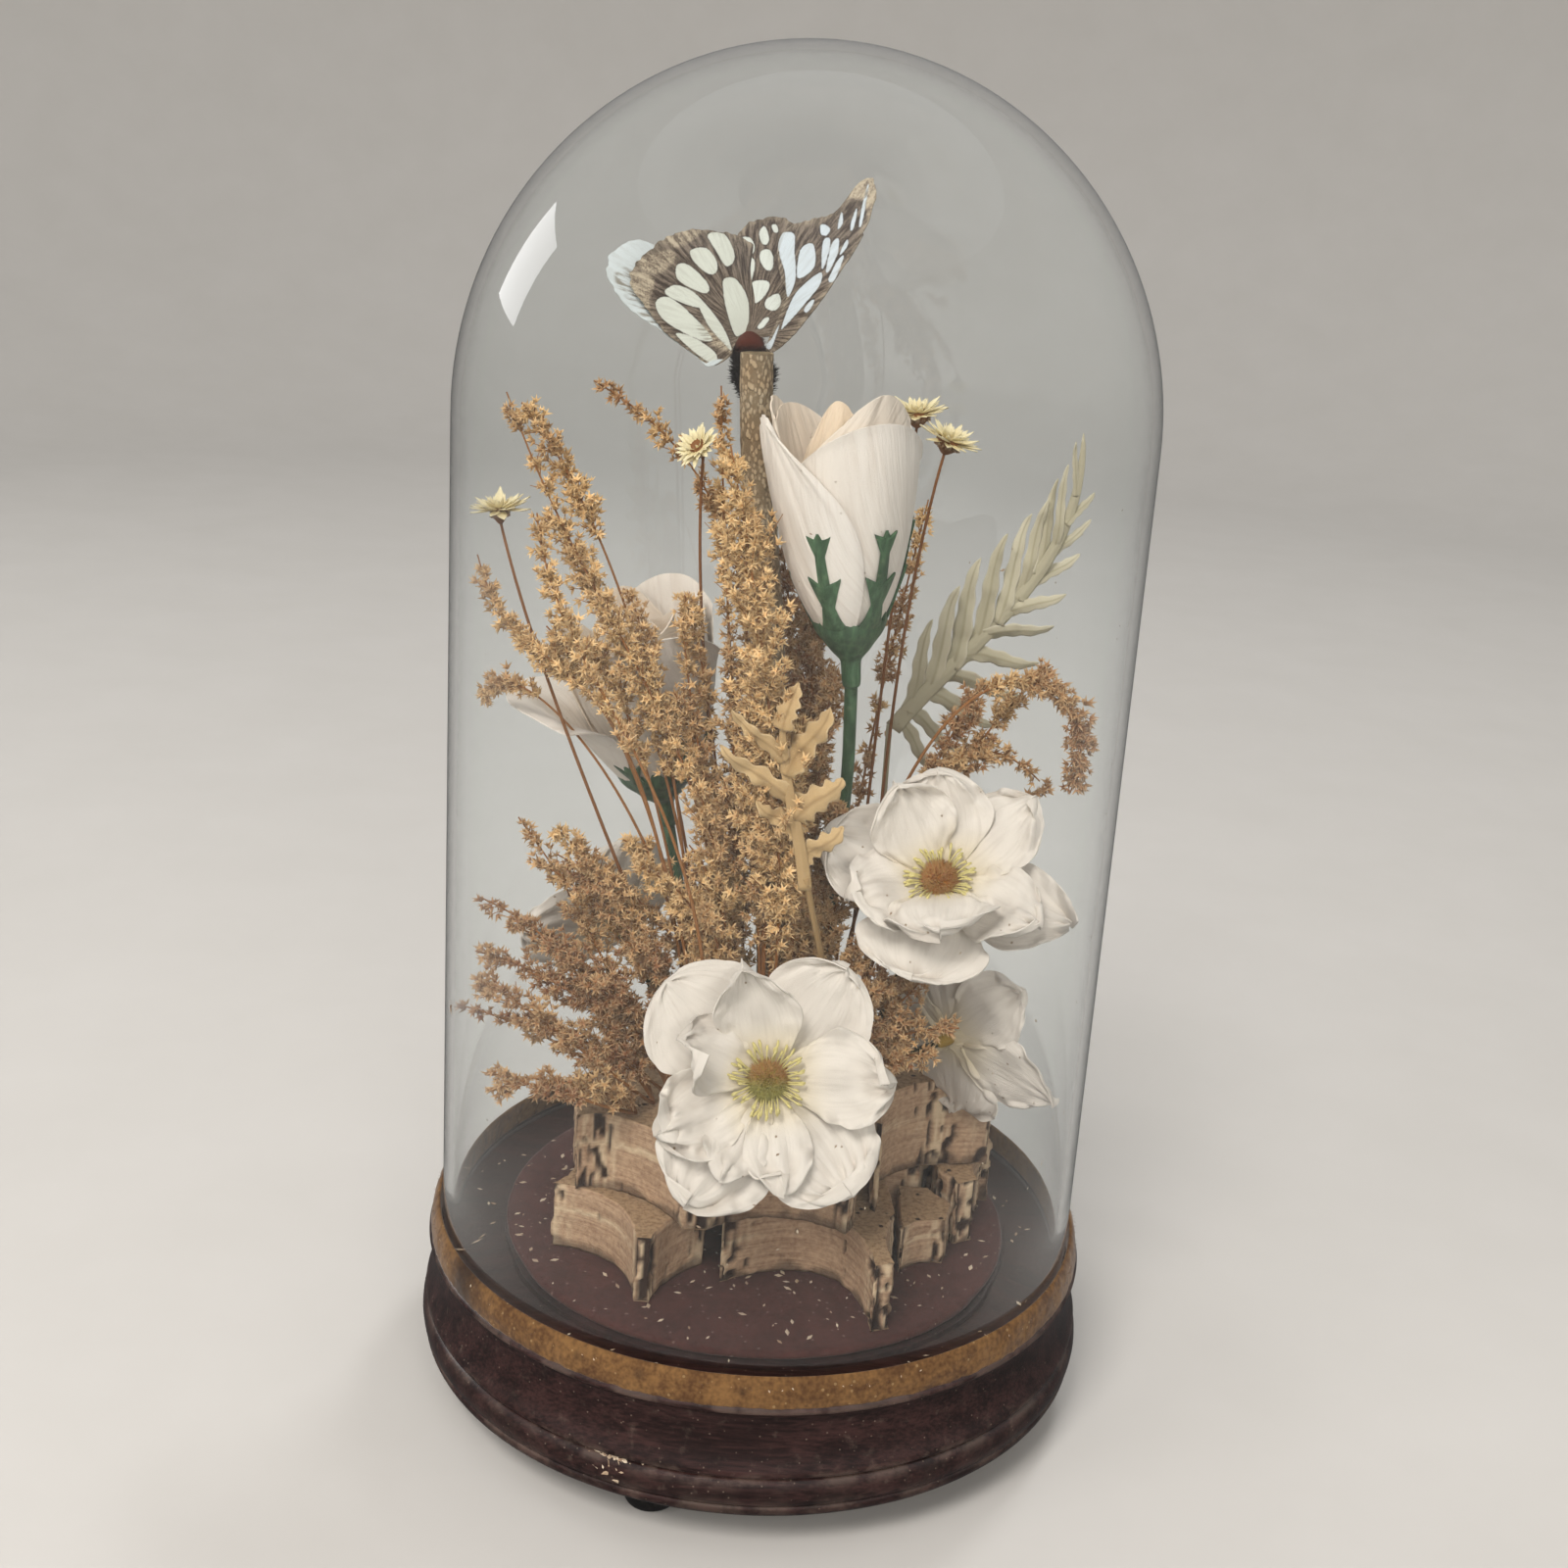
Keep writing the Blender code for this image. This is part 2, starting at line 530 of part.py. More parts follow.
def grasses():
    """Dried grass sprays, each with the outer form that its florets fill."""
    count = 7
    for name, (foot, low, high, tip, girth, bare) in GRASSES.items():
        radii = [plume_radius(i / (count - 1), girth, bare) for i in range(count)]
        tube(name, smooth_path([(*foot, STEM_FOOT_Z), low, high, tip], count), radii, GRASS, 0)


def frond_outline(midrib, leaflets, longest, lean):
    """A fern frond laid flat: slim leaflets on both sides of a curved midrib."""
    controls = [Vector((x, y)) * MM for x, y in midrib]

    def leaflet(number, sign):
        t = (number + 0.5) / leaflets
        root = bezier(controls, t)
        ahead = (bezier(controls, t + 0.01) - root).normalized()
        away = Vector((-ahead.y, ahead.x)) * sign
        growth = (1.0 - t) ** 0.8 * (0.6 + 0.4 * math.sin(math.pi * min(1.0, 3.0 * t)))
        along = ahead * math.cos(lean) + away * math.sin(lean)
        across = (ahead - along * ahead.dot(along)).normalized() * LEAFLET_HALF_WIDTH
        tip = along * max(longest * MM * growth, 5.0 * MM)
        rib = away * STALK_RADIUS
        return [root + rib - ahead * MM, root + tip * 0.45 - across, root + tip,
                root + tip * 0.45 + across, root + rib + ahead * MM]

    outline = [controls[0] + Vector((STALK_RADIUS, 0.0))]
    for number in range(leaflets):
        outline += leaflet(number, -1)
    outline.append(controls[3])
    for number in reversed(range(leaflets)):
        outline += reversed(leaflet(number, 1))
    return outline + [controls[0] - Vector((STALK_RADIUS, 0.0))]


# name: midrib in the plane of the frond, leaflets a side, longest, lean in degrees, y, stalk
FERNS = {
    "fern_right": ([(27, 176), (46, 204), (76, 214), (71, 258)], 9, 27, 40, 17,
                   [(26, 14, STEM_FOOT_Z), (27, 16, 130), (27, 17, 179)]),
    "fern_centre": ([(7, 152), (6, 168), (-3, 182), (-5, 204)], 5, 18, 42, -42,
                    [(14, -22, STEM_FOOT_Z), (13, -27, 128), (7, -42, 155)]),
}


def ferns():
    """Two bleached fern fronds, each one flat blade with its stalk."""
    upright = Matrix.Rotation(math.pi / 2, 4, "X")
    for name, (midrib, leaflets, longest, lean, y, stalk) in FERNS.items():
        outline = frond_outline(midrib, leaflets, longest, math.radians(lean))
        place = Matrix.Translation((0.0, y * MM, 0.0)) @ upright
        blade = slab(name, outline, PETAL_THICKNESS, FERN, place)
        fuse(blade, [tube(f"{name}_stalk", in_mm(stalk), [STALK_RADIUS] * len(stalk), FERN)])


clear_scene()
DISPLAY = collection("butterfly_dome")

WOOD = material("dark stained wood", (0.075, 0.04, 0.035), 0.4)
FOOT_FINISH = material("black foot", (0.02, 0.02, 0.02), 0.5)
GLASS = material("clear glass", (0.95, 0.97, 0.98), 0.02, transmission=1.0)
VELVET_TAN = material("faded tan velvet", (0.36, 0.21, 0.09), 0.9)
VELVET_BROWN = material("plum brown velvet", (0.09, 0.045, 0.05), 0.95)
CORK = material("cork", (0.45, 0.31, 0.19), 0.9)
TWIG_BARK = material("twig bark", (0.36, 0.29, 0.2), 0.9)
WING = material("butterfly wing", (0.55, 0.52, 0.42), 0.8)
ROSE = material("rose fabric", (0.82, 0.7, 0.6), 0.8)
GREEN = material("green plastic", (0.06, 0.15, 0.08), 0.5)
PETAL = material("white fabric", (0.85, 0.82, 0.78), 0.8)
FLOWER_STEM = material("stamen yellow", (0.5, 0.36, 0.1), 0.8)
DAISY = material("dried daisy", (0.75, 0.65, 0.4), 0.9)
GRASS = material("dried grass", (0.6, 0.4, 0.2), 0.95)
FERN = material("bleached fern", (0.6, 0.56, 0.4), 0.9)

wooden_base()
feet()
velvet_band()
velvet_disc()
glass_dome()
cork_offcuts()
twig()
butterfly()
roses()
anemones()
daisies()
grasses()
ferns()
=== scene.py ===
"""Looks of a butterfly and dried flowers under a glass dome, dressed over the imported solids.

The row frame is metres, +Z up, with the origin under the dome's axis on the table. Shapes
are worked out in millimetres and turned into metres when their mesh is made.
"""

import logging
import math
from dataclasses import dataclass
from enum import Enum

import bpy
import numpy as np
from mathutils import Matrix, Vector


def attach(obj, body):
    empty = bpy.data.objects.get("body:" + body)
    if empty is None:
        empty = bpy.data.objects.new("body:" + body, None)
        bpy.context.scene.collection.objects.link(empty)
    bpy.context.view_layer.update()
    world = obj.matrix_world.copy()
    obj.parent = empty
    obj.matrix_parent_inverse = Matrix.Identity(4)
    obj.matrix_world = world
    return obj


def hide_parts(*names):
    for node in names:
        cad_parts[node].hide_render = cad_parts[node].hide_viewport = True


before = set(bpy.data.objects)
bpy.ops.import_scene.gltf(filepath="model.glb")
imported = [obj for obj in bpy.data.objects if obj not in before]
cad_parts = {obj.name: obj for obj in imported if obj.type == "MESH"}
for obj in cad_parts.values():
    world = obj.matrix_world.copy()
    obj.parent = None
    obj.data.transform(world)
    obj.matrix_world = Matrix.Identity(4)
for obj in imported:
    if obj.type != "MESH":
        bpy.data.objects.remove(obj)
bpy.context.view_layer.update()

LOG = logging.getLogger("butterfly_dome")
MM = 0.001
TAU = 2.0 * math.pi
Array = np.ndarray
Point = tuple[float, float, float]
Outline = tuple[tuple[float, float], ...]
CORK_TOP = 84.8
GOLDEN_ANGLE = 2.39996


class Slot(Enum):
    """The record's material slots, by name."""

    WOOD = "wood"
    FOOT = "foot"
    GLASS = "glass"
    VELVET_TAN = "velvet_tan"
    VELVET_BROWN = "velvet_brown"
    CORK = "cork"
    TWIG_BARK = "twig_bark"
    WING = "wing"
    ROSE = "rose"
    GREEN = "green"
    PETAL = "petal"
    FLOWER_STEM = "flower_stem"
    DAISY = "daisy"
    GRASS = "grass"
    FERN = "fern"


# ---------------------------------------------------------------- mixing materials

def linear(code: str) -> tuple[float, float, float, float]:
    """The linear colour, with an alpha of 1, of a code such as '#c9a26b'."""
    parts = [int(code[i:i + 2], 16) / 255.0 for i in (1, 3, 5)]
    return (*[((p + 0.055) / 1.055) ** 2.4 if p > 0.04 else p / 12.92 for p in parts], 1.0)


class Sock:
    """A node's output, on which Python arithmetic adds Math nodes."""

    def __init__(self, paint: "Paint", socket: bpy.types.NodeSocket) -> None:
        """Wraps one output of a node of that paint."""
        self.paint = paint
        self.socket = socket

    def maths(self, operation: str, first: "Sock | float", second: "Sock | float") -> "Sock":
        """Adds one Math node with that operation, such as 'ADD', on two values."""
        return self.paint.node("ShaderNodeMath", {"operation": operation},
                               {0: first, 1: second})

    def __add__(self, other: "Sock | float") -> "Sock":
        """self + other."""
        return self.maths("ADD", self, other)

    def __sub__(self, other: "Sock | float") -> "Sock":
        """self - other."""
        return self.maths("SUBTRACT", self, other)

    def __rsub__(self, other: float) -> "Sock":
        """other - self."""
        return self.maths("SUBTRACT", other, self)

    def __mul__(self, other: "Sock | float") -> "Sock":
        """self * other."""
        return self.maths("MULTIPLY", self, other)

    __radd__ = __add__
    __rmul__ = __mul__


class Paint:
    """One material being mixed: its node tree and the shader at its end."""

    def __init__(self, name: str) -> None:
        """Starts a material of that name."""
        self.material = bpy.data.materials.new(name)
        self.material.use_nodes = True
        self.tree = self.material.node_tree
        self.shader = self.tree.nodes["Principled BSDF"]
        self.place = self.node("ShaderNodeTexCoord", output="Object")

    def node(self, kind: str, settings: dict[str, object] | None = None,
             inputs: dict[str | int, object] | None = None,
             output: str | int = 0) -> Sock:
        """Adds any node.

        Args:
            kind: the node's type.
            settings: its own settings, which are set first.
            inputs: values or links of its sockets, by name or number.
            output: the output that is wanted.

        Returns:
            That output.
        """
        made = self.tree.nodes.new(kind)
        for key, value in (settings or {}).items():
            setattr(made, key, value)
        self.feed(made, inputs or {})
        return Sock(self, made.outputs[output])

    def feed(self, node: bpy.types.Node, inputs: dict[str | int, object]) -> None:
        """Sets or links a node's inputs, by name or number."""
        for key, value in inputs.items():
            if isinstance(value, Sock):
                self.tree.links.new(value.socket, node.inputs[key])
            else:
                node.inputs[key].default_value = value

    def spread(self, size: float, stretch: Point, place: Sock | None) -> Sock:
        """Coordinates in which a feature of that size in millimetres is one unit long.

        It is longer by the stretch along X, Y and Z. A place of none is the object's own.
        """
        scale = tuple(1.0 / (MM * size * s) for s in stretch)
        return self.node("ShaderNodeMapping", None,
                         {"Vector": place or self.place, "Scale": scale})

    def noise(self, size: float, detail: float = 3.0, stretch: Point = (1, 1, 1),
              place: Sock | None = None) -> Sock:
        """Cloudy noise about 0.5 whose blotches have that size in millimetres."""
        return self.node("ShaderNodeTexNoise", None,
                         {"Vector": self.spread(size, stretch, place), "Scale": 1.0,
                          "Detail": detail, "Roughness": 0.6})

    def cells(self, size: float, stretch: Point = (1, 1, 1), place: Sock | None = None) -> Sock:
        """Distance from the nearest of scattered points that lie about that far apart."""
        return self.node("ShaderNodeTexVoronoi", None,
                         {"Vector": self.spread(size, stretch, place), "Scale": 1.0},
                         "Distance")

    def mix(self, share: Sock | float, first: Sock | str, second: Sock | str) -> Sock:
        """Blends two colours: the first where the share is 0, the second where it is 1."""
        pair = [linear(c) if isinstance(c, str) else c for c in (first, second)]
        return self.node("ShaderNodeMix", {"data_type": "RGBA", "clamp_factor": True},
                         {0: share, 6: pair[0], 7: pair[1]}, 2)

    def rise(self, value: Sock, low: float, high: float) -> Sock:
        """Goes smoothly from 0 where the value is low to 1 where it is high."""
        return self.node("ShaderNodeMapRange", {"interpolation_type": "SMOOTHSTEP"},
                         {"Value": value, "From Min": low, "From Max": high})

    def tone(self, channel: int) -> Sock:
        """One of the three values that the piece's points carry."""
        colour = self.node("ShaderNodeAttribute", {"attribute_name": "tone"}, None, "Color")
        return self.node("ShaderNodeSeparateColor", None, {0: colour}, channel)

    def wrap(self) -> Sock:
        """Metres across and along the surface, from the piece's own attribute."""
        return self.node("ShaderNodeAttribute", {"attribute_name": "wrap"}, None, "Vector")

    def bump(self, height: Sock, depth: float, under: Sock | None = None) -> Sock:
        """The normal of a relief whose depth is in millimetres, added to the one under it."""
        inputs: dict[str | int, object] = {"Height": height, "Distance": depth * MM}
        if under:
            inputs["Normal"] = under
        return self.node("ShaderNodeBump", None, inputs, "Normal")

    def finished(self, colour: Sock | str, roughness: Sock | float, normal: Sock | None = None,
                 **constants: float) -> bpy.types.Material:
        """Feeds the shader.

        Args:
            colour: base colour.
            roughness: roughness.
            normal: the surface relief, if it has one.
            constants: values of the shader's other sockets, with _ for a space.

        Returns:
            The material.
        """
        values: dict[str | int, object] = {
            "Base Color": linear(colour) if isinstance(colour, str) else colour,
            "Roughness": roughness}
        if normal:
            values["Normal"] = normal
        values.update({key.replace("_", " "): value for key, value in constants.items()})
        self.feed(self.shader, values)
        return self.material


# ---------------------------------------------------------------- finishes

@dataclass(frozen=True)
class StainedWood:
    """Dark stain on turned wood: grain, a satin coat, dust, and sharp outer edges painted pale,
    partly as wear and partly as a painted highlight where they catch light.
    """

    dark: str = "#1d1110"
    light: str = "#3a2523"
    dust: str = "#8c7b6d"
    worn_and_lit_edge: str = "#75645a"

    def mixed(self) -> bpy.types.Material:
        """Mixes the material."""
        paint = Paint("stained wood")
        grain = paint.noise(0.7, 5, (14, 1, 1))
        bands = paint.noise(5, 3, (6, 1, 1))
        wood = paint.mix(paint.rise(grain * 0.6 + bands * 0.5, 0.42, 0.72), self.dark, self.light)
        scuff = paint.rise(paint.noise(3.0, 8), 0.56, 0.78)
        speck = paint.rise(paint.cells(2.2), 0.13, 0.05)
        # The pale on sharp outer edges is partly wear and partly a painted highlight of edges that
        # catch light.
        edge = paint.tone(0) * paint.rise(paint.noise(9, 5), 0.42, 0.6)
        wood = paint.mix(scuff * 0.16 + speck * 0.4, wood, self.dust)
        wood = paint.mix(edge * 0.35, wood, self.worn_and_lit_edge)
        relief = paint.bump(grain, 0.05)
        return paint.finished(wood, scuff * 0.25 + 0.36, relief, Coat_Weight=0.3,
                              Coat_Roughness=0.25)


@dataclass(frozen=True)
class FootPlastic:
    """Matt black foot with dust in its pores."""

    def mixed(self) -> bpy.types.Material:
        """Mixes the material."""
        paint = Paint("black foot")
        dust = paint.rise(paint.noise(1.5, 5), 0.5, 0.8)
        return paint.finished(paint.mix(dust * 0.5, "#161414", "#4b4541"), dust * 0.2 + 0.5,
                              paint.bump(paint.noise(0.6), 0.05))


@dataclass(frozen=True)
class Velvet:
    """Short napped cloth. The piece's first tone marks where the nap is gone."""

    name: str
    deep: str
    lit: str
    bare: str
    fleck: str
    fleck_share: float

    def mixed(self) -> bpy.types.Material:
        """Mixes the material."""
        paint = Paint(self.name)
        nap = paint.noise(1.3, 1)
        patches = paint.noise(9, 3)
        cloth = paint.mix(paint.rise(nap * 0.45 + patches * 0.55, 0.3, 0.7), self.deep, self.lit)
        fleck = paint.rise(paint.cells(3.0), 0.14, 0.1) * self.fleck_share
        cloth = paint.mix(fleck, cloth, self.fleck)
        cloth = paint.mix(paint.tone(0), cloth, self.bare)
        relief = paint.bump(patches, 0.03)
        return paint.finished(cloth, 0.95, relief, Sheen_Weight=0.2, Sheen_Roughness=0.4)


@dataclass(frozen=True)
class ClearGlass:
    """The dome's plain clear glass."""

    def mixed(self) -> bpy.types.Material:
        """Mixes the material."""
        paint = Paint("clear glass")
        return paint.finished("#fbfdfd", 0.0, None, Transmission_Weight=1.0, IOR=1.45)


@dataclass(frozen=True)
class PunchedCork:
    """Cork: layered grain and a pale layer, dark cracks, pits on the cut top, and walls that darken
    towards their foot.

    Tones are crack, pale layer and cut top. The wrap's third value is how dark the foot is.
    """

    dark: str = "#8f7059"
    light: str = "#c0a284"
    pale: str = "#e6d2b0"
    crack: str = "#33241d"

    def mixed(self) -> bpy.types.Material:
        """Mixes the material."""
        paint = Paint("punched cork")
        layers = paint.noise(0.7, 4, (22, 22, 1))
        crumb = paint.noise(1.3, 6)
        side = paint.mix(paint.rise(layers * 0.5 + crumb * 0.5, 0.3, 0.66), self.dark,
                         self.light)
        side = paint.mix(paint.tone(1), side, self.pale)
        pit = paint.rise(paint.cells(4.5) + crumb * 0.2, 0.28, 0.2)
        top = paint.mix(paint.rise(crumb, 0.3, 0.65), "#83694f", "#ab9071")
        top = paint.mix(pit, top, "#382921")
        body = paint.mix(paint.tone(2), side, top)
        body = paint.mix(paint.tone(0), body, self.crack)
        # The wrap's third value darkens the walls towards their foot.
        foot_dark = paint.node("ShaderNodeSeparateXYZ", None, {0: paint.wrap()}, 2)
        body = paint.mix(foot_dark, body, "#271b19")
        relief = paint.bump(layers, 0.18, paint.bump(crumb - pit * paint.tone(2), 0.3))
        return paint.finished(body, 0.9, relief)


@dataclass(frozen=True)
class NettedBark:
    """Bark with pale raised scales in a dark net. The first tone marks the cut end."""

    def mixed(self) -> bpy.types.Material:
        """Mixes the material."""
        paint = Paint("netted bark")
        wobble = paint.noise(1.2, 3)
        gap = paint.cells(0.95, (1, 1.6, 1), paint.wrap())
        scale = paint.rise(gap + wobble * 0.25, 0.74, 0.46)
        drift = paint.noise(14, 3)
        pale = paint.mix(paint.rise(drift, 0.35, 0.65), "#ab9d86", "#a99273")
        net = paint.mix(paint.rise(drift, 0.4, 0.7), "#7c6d57", "#78644c")
        bark = paint.mix(scale, net, pale)
        bark = paint.mix(paint.tone(0), bark, paint.mix(wobble, "#8b7558", "#cbb691"))
        return paint.finished(bark, 0.85, paint.bump(scale, 0.22))


@dataclass(frozen=True)
class WingScales:
    """Scaled wing: pale cells between dusty brown veins.

    Tones are the cell, its painted sheen (a bluish tint painted where a wing catches light at
    another angle) and the dustiness of the margin.
    """

    def mixed(self) -> bpy.types.Material:
        """Mixes the material."""
        paint = Paint("wing scales")
        fine = paint.noise(0.5, 4)
        streak = paint.noise(0.55, 3, (1, 12, 1), paint.wrap())
        vein = paint.mix(paint.rise(streak * 0.8 + fine * 0.2, 0.4, 0.64), "#372b22", "#85786a")
        vein = paint.mix(paint.rise(paint.tone(0), 0.36, 0.47) * 0.6, vein, "#2d231c")
        margin = paint.mix(paint.rise(fine * 0.4 + streak * 0.6, 0.38, 0.6), "#5f5144", "#b8ab94")
        vein = paint.mix(paint.tone(2), vein, margin)
        # The bluish cell colour is a painted sheen of a wing catching light at another angle.
        cell = paint.mix(paint.tone(1), "#cfd3c8", "#c4ced4")
        dull = paint.rise(streak, 0.42, 0.64) * (paint.tone(2) * 0.75 + 0.14)
        cell = paint.mix(dull + paint.rise(fine, 0.55, 0.85) * 0.25, cell, "#7d7566")
        edge = paint.rise(paint.tone(0) + fine * 0.1 + streak * 0.1, 0.54, 0.62)
        wing = paint.mix(edge, vein, cell)
        return paint.finished(wing, 0.75, paint.bump(fine, 0.06), Sheen_Weight=0.2)


@dataclass(frozen=True)
class InsectFur:
    """Body hair, black or rust by the first tone and paler to the tip by the second."""

    def mixed(self) -> bpy.types.Material:
        """Mixes the material."""
        paint = Paint("insect fur")
        hair = paint.mix(paint.tone(0), "#120d0c", "#4a1d0e")
        hair = paint.mix(paint.tone(1) * paint.tone(0) * 0.4, hair, "#7a4022")
        return paint.finished(hair, 0.7)


@dataclass(frozen=True)
class PetalCloth:
    """Thin woven cloth, warmer by the first tone (which on the roses also paints their left side as
    shade), with soft pleat lines and a second tone painted as shade, and specks of dirt.
    """

    name: str
    outer: str
    inner: str
    shade: str
    dirt: float

    def mixed(self) -> bpy.types.Material:
        """Mixes the material."""
        paint = Paint(self.name)
        weave = paint.noise(0.28, 1)
        pleats = paint.noise(1.3, 2, (1, 16, 1), paint.wrap())
        cloth = paint.mix(paint.tone(0), self.outer, self.inner)
        # Faint pleat lines are painted shade.
        cloth = paint.mix(paint.rise(pleats, 0.45, 0.75) * 0.18, cloth, self.shade)
        # The second tone is painted shade.
        cloth = paint.mix(paint.tone(1), cloth, self.shade)
        speck = paint.rise(paint.cells(5.5) + paint.noise(0.7) * 0.12, 0.13, 0.1)
        cloth = paint.mix(speck * self.dirt, cloth, "#8d7a63")
        relief = paint.bump(pleats, 0.3, paint.bump(weave, 0.08))
        return paint.finished(cloth, 0.85, relief, Sheen_Weight=0.1)


@dataclass(frozen=True)
class MouldedGreen:
    """The rose's moulded green cup and stem, slightly streaked and dusty."""

    def mixed(self) -> bpy.types.Material:
        """Mixes the material."""
        paint = Paint("moulded green")
        streak = paint.noise(1.5, 4, (1, 1, 8))
        green = paint.mix(paint.rise(streak, 0.35, 0.7), "#2d4730", "#4a694b")
        green = paint.mix(paint.rise(paint.noise(2.0, 6), 0.55, 0.8) * 0.3, green, "#7d8468")
        return paint.finished(green, paint.noise(3) * 0.3 + 0.4, paint.bump(streak, 0.08))


@dataclass(frozen=True)
class DriedPlant:
    """Dried plant matter between three colours.

    Tones are each small part's lightness (partly painted shade on grass florets and fern leaflets),
    the share of the third colour, and how near the tip a point is.
    """

    name: str
    deep: str
    lit: str
    other: str
    tip: str

    def mixed(self) -> bpy.types.Material:
        """Mixes the material."""
        paint = Paint(self.name)
        fibre = paint.noise(0.6, 4)
        part = paint.mix(paint.tone(0) * 0.75 + fibre * 0.25, self.deep, self.lit)
        part = paint.mix(paint.tone(1), part, self.other)
        part = paint.mix(paint.tone(2) * 0.5, part, self.tip)
        return paint.finished(part, 0.85, paint.bump(fibre, 0.08))


@dataclass(frozen=True)
class StudioFloor:
    """Plain pale floor that runs up into the backdrop."""

    def mixed(self) -> bpy.types.Material:
        """Mixes the material."""
        paint = Paint("studio floor")
        return paint.finished(paint.mix(paint.noise(60, 3), "#c3c1bd", "#cac8c5"), 0.8)


# ---------------------------------------------------------------- shapes from arrays

def together(*parts: Array | float) -> Array:
    """Values side by side along a new last axis, each spread to their common shape."""
    return np.stack(np.broadcast_arrays(*parts), -1)


def polar(radius: Array | float, angle: Array | float, height: Array | float) -> Array:
    """Points at x = r cos a, y = r sin a, z = h."""
    return together(radius * np.cos(angle), radius * np.sin(angle), height)


def lattice(rows: int, columns: int, top: float = 0.0, left: float = -1.0
            ) -> tuple[Array, Array]:
    """A grid's v, from top to 1 down its rows, and its u, from left to 1 across them."""
    v, u = np.meshgrid(np.linspace(top, 1, rows), np.linspace(left, 1, columns), indexing="ij")
    return v, u


def around(count: int) -> tuple[Array, Array]:
    """The indices round a ring, and the one that comes after each."""
    j = np.arange(count)
    return j, (j + 1) % count


def between(at: Array, knots: Array, rows: Array) -> Array:
    """A table's rows, read off in straight lines between its knots."""
    return together(*(np.interp(at, knots, column) for column in rows.T))


def hills(points: Array, size: Array | list[float] | float, seed: int) -> Array:
    """Smooth value noise.

    Random values stand on a cubic lattice. Between them the value is blended along each
    axis with the weight 3 t^2 - 2 t^3.

    Args:
        points: places, whose three coordinates are the last axis.
        size: the lattice's spacing, one number or one for each axis.
        seed: picks the lattice.

    Returns:
        A value from -1 to 1 for each point.
    """
    scaled = points / np.asarray(size, float)
    corner = np.floor(scaled).astype(np.int64)
    part = scaled - corner
    weight = part * part * (3.0 - 2.0 * part)
    total = np.zeros(scaled.shape[:-1])
    for step in np.ndindex(2, 2, 2):
        x, y, z = np.moveaxis(corner + step, -1, 0)
        key = x * 73856093 ^ y * 19349663 ^ z * 83492791 ^ seed * 26544357
        key = (key ^ (key >> 13)) * 1274126177 & 0xFFFFFFFF
        key = (key ^ (key >> 16)) & 0xFFFF
        share = np.prod(np.where(np.array(step) == 1, weight, 1.0 - weight), axis=-1)
        total += share * (key / 32767.5 - 1.0)
    return total


def smoothly(value: Array, low: Array | float, high: Array | float) -> Array:
    """Goes from 0 at low to 1 at high as 3 t^2 - 2 t^3."""
    t = np.clip((value - low) / (high - low), 0.0, 1.0)
    return t * t * (3.0 - 2.0 * t)


def unit(vectors: Array) -> Array:
    """Scales vectors to length 1 along the last axis."""
    return vectors / np.maximum(np.linalg.norm(vectors, axis=-1, keepdims=True), 1e-9)


def bezier(controls: Array, t: Array) -> Array:
    """Points on the cubic curve a s^3 + 3 b t s^2 + 3 c t^2 s + d t^3, with s = 1 - t."""
    a, b, c, d = np.asarray(controls, float)
    t = np.asarray(t, float)[:, None]
    s = 1.0 - t
    return a * s ** 3 + b * (3 * t * s * s) + c * (3 * t * t * s) + d * t ** 3


def looped(points: Outline, fineness: int) -> Array:
    """A smooth closed line through points, by the Catmull-Rom formula on each side.

    Args:
        points: the points that it passes, in order.
        fineness: points made for each side.

    Returns:
        The line's points.
    """
    passed = np.array(points, float)
    p0, p1, p2, p3 = (np.roll(passed, shift, axis=0)[:, None] for shift in (1, 0, -1, -2))
    t = (np.arange(fineness) / fineness)[None, :, None]
    line = 0.5 * (2 * p1 + (p2 - p0) * t + (2 * p0 - 5 * p1 + 4 * p2 - p3) * t ** 2
                  + (3 * p1 - p0 - 3 * p2 + p3) * t ** 3)
    return line.reshape(-1, 2)


def rounded(profile: Array | Outline | list[tuple[float, float]], times: int) -> Array:
    """Cuts a profile's corners: each side keeps the stretch between its quarter points."""
    profile = np.array(profile, float)
    for _ in range(times):
        start, end = profile[:-1], profile[1:]
        cut = np.stack([0.75 * start + 0.25 * end, 0.25 * start + 0.75 * end], 1)
        profile = np.vstack([profile[:1], cut.reshape(-1, 2), profile[-1:]])
    return profile


def flowing(points: Array, count: int) -> Array:
    """A soft path through points: evenly spaced, then averaged over a seventh of its length."""
    points = np.asarray(points, float)
    travel = np.concatenate([[0], np.cumsum(np.linalg.norm(np.diff(points, axis=0), axis=1))])
    line = between(np.linspace(0, travel[-1], count), travel, points)
    half = max(1, count // 14)
    padded = np.vstack([2 * line[0] - line[half:0:-1], line,
                        2 * line[-1] - line[-2:-2 - half:-1]])
    window = np.ones(2 * half + 1) / (2 * half + 1)
    return together(*(np.convolve(column, window, "valid") for column in padded.T))


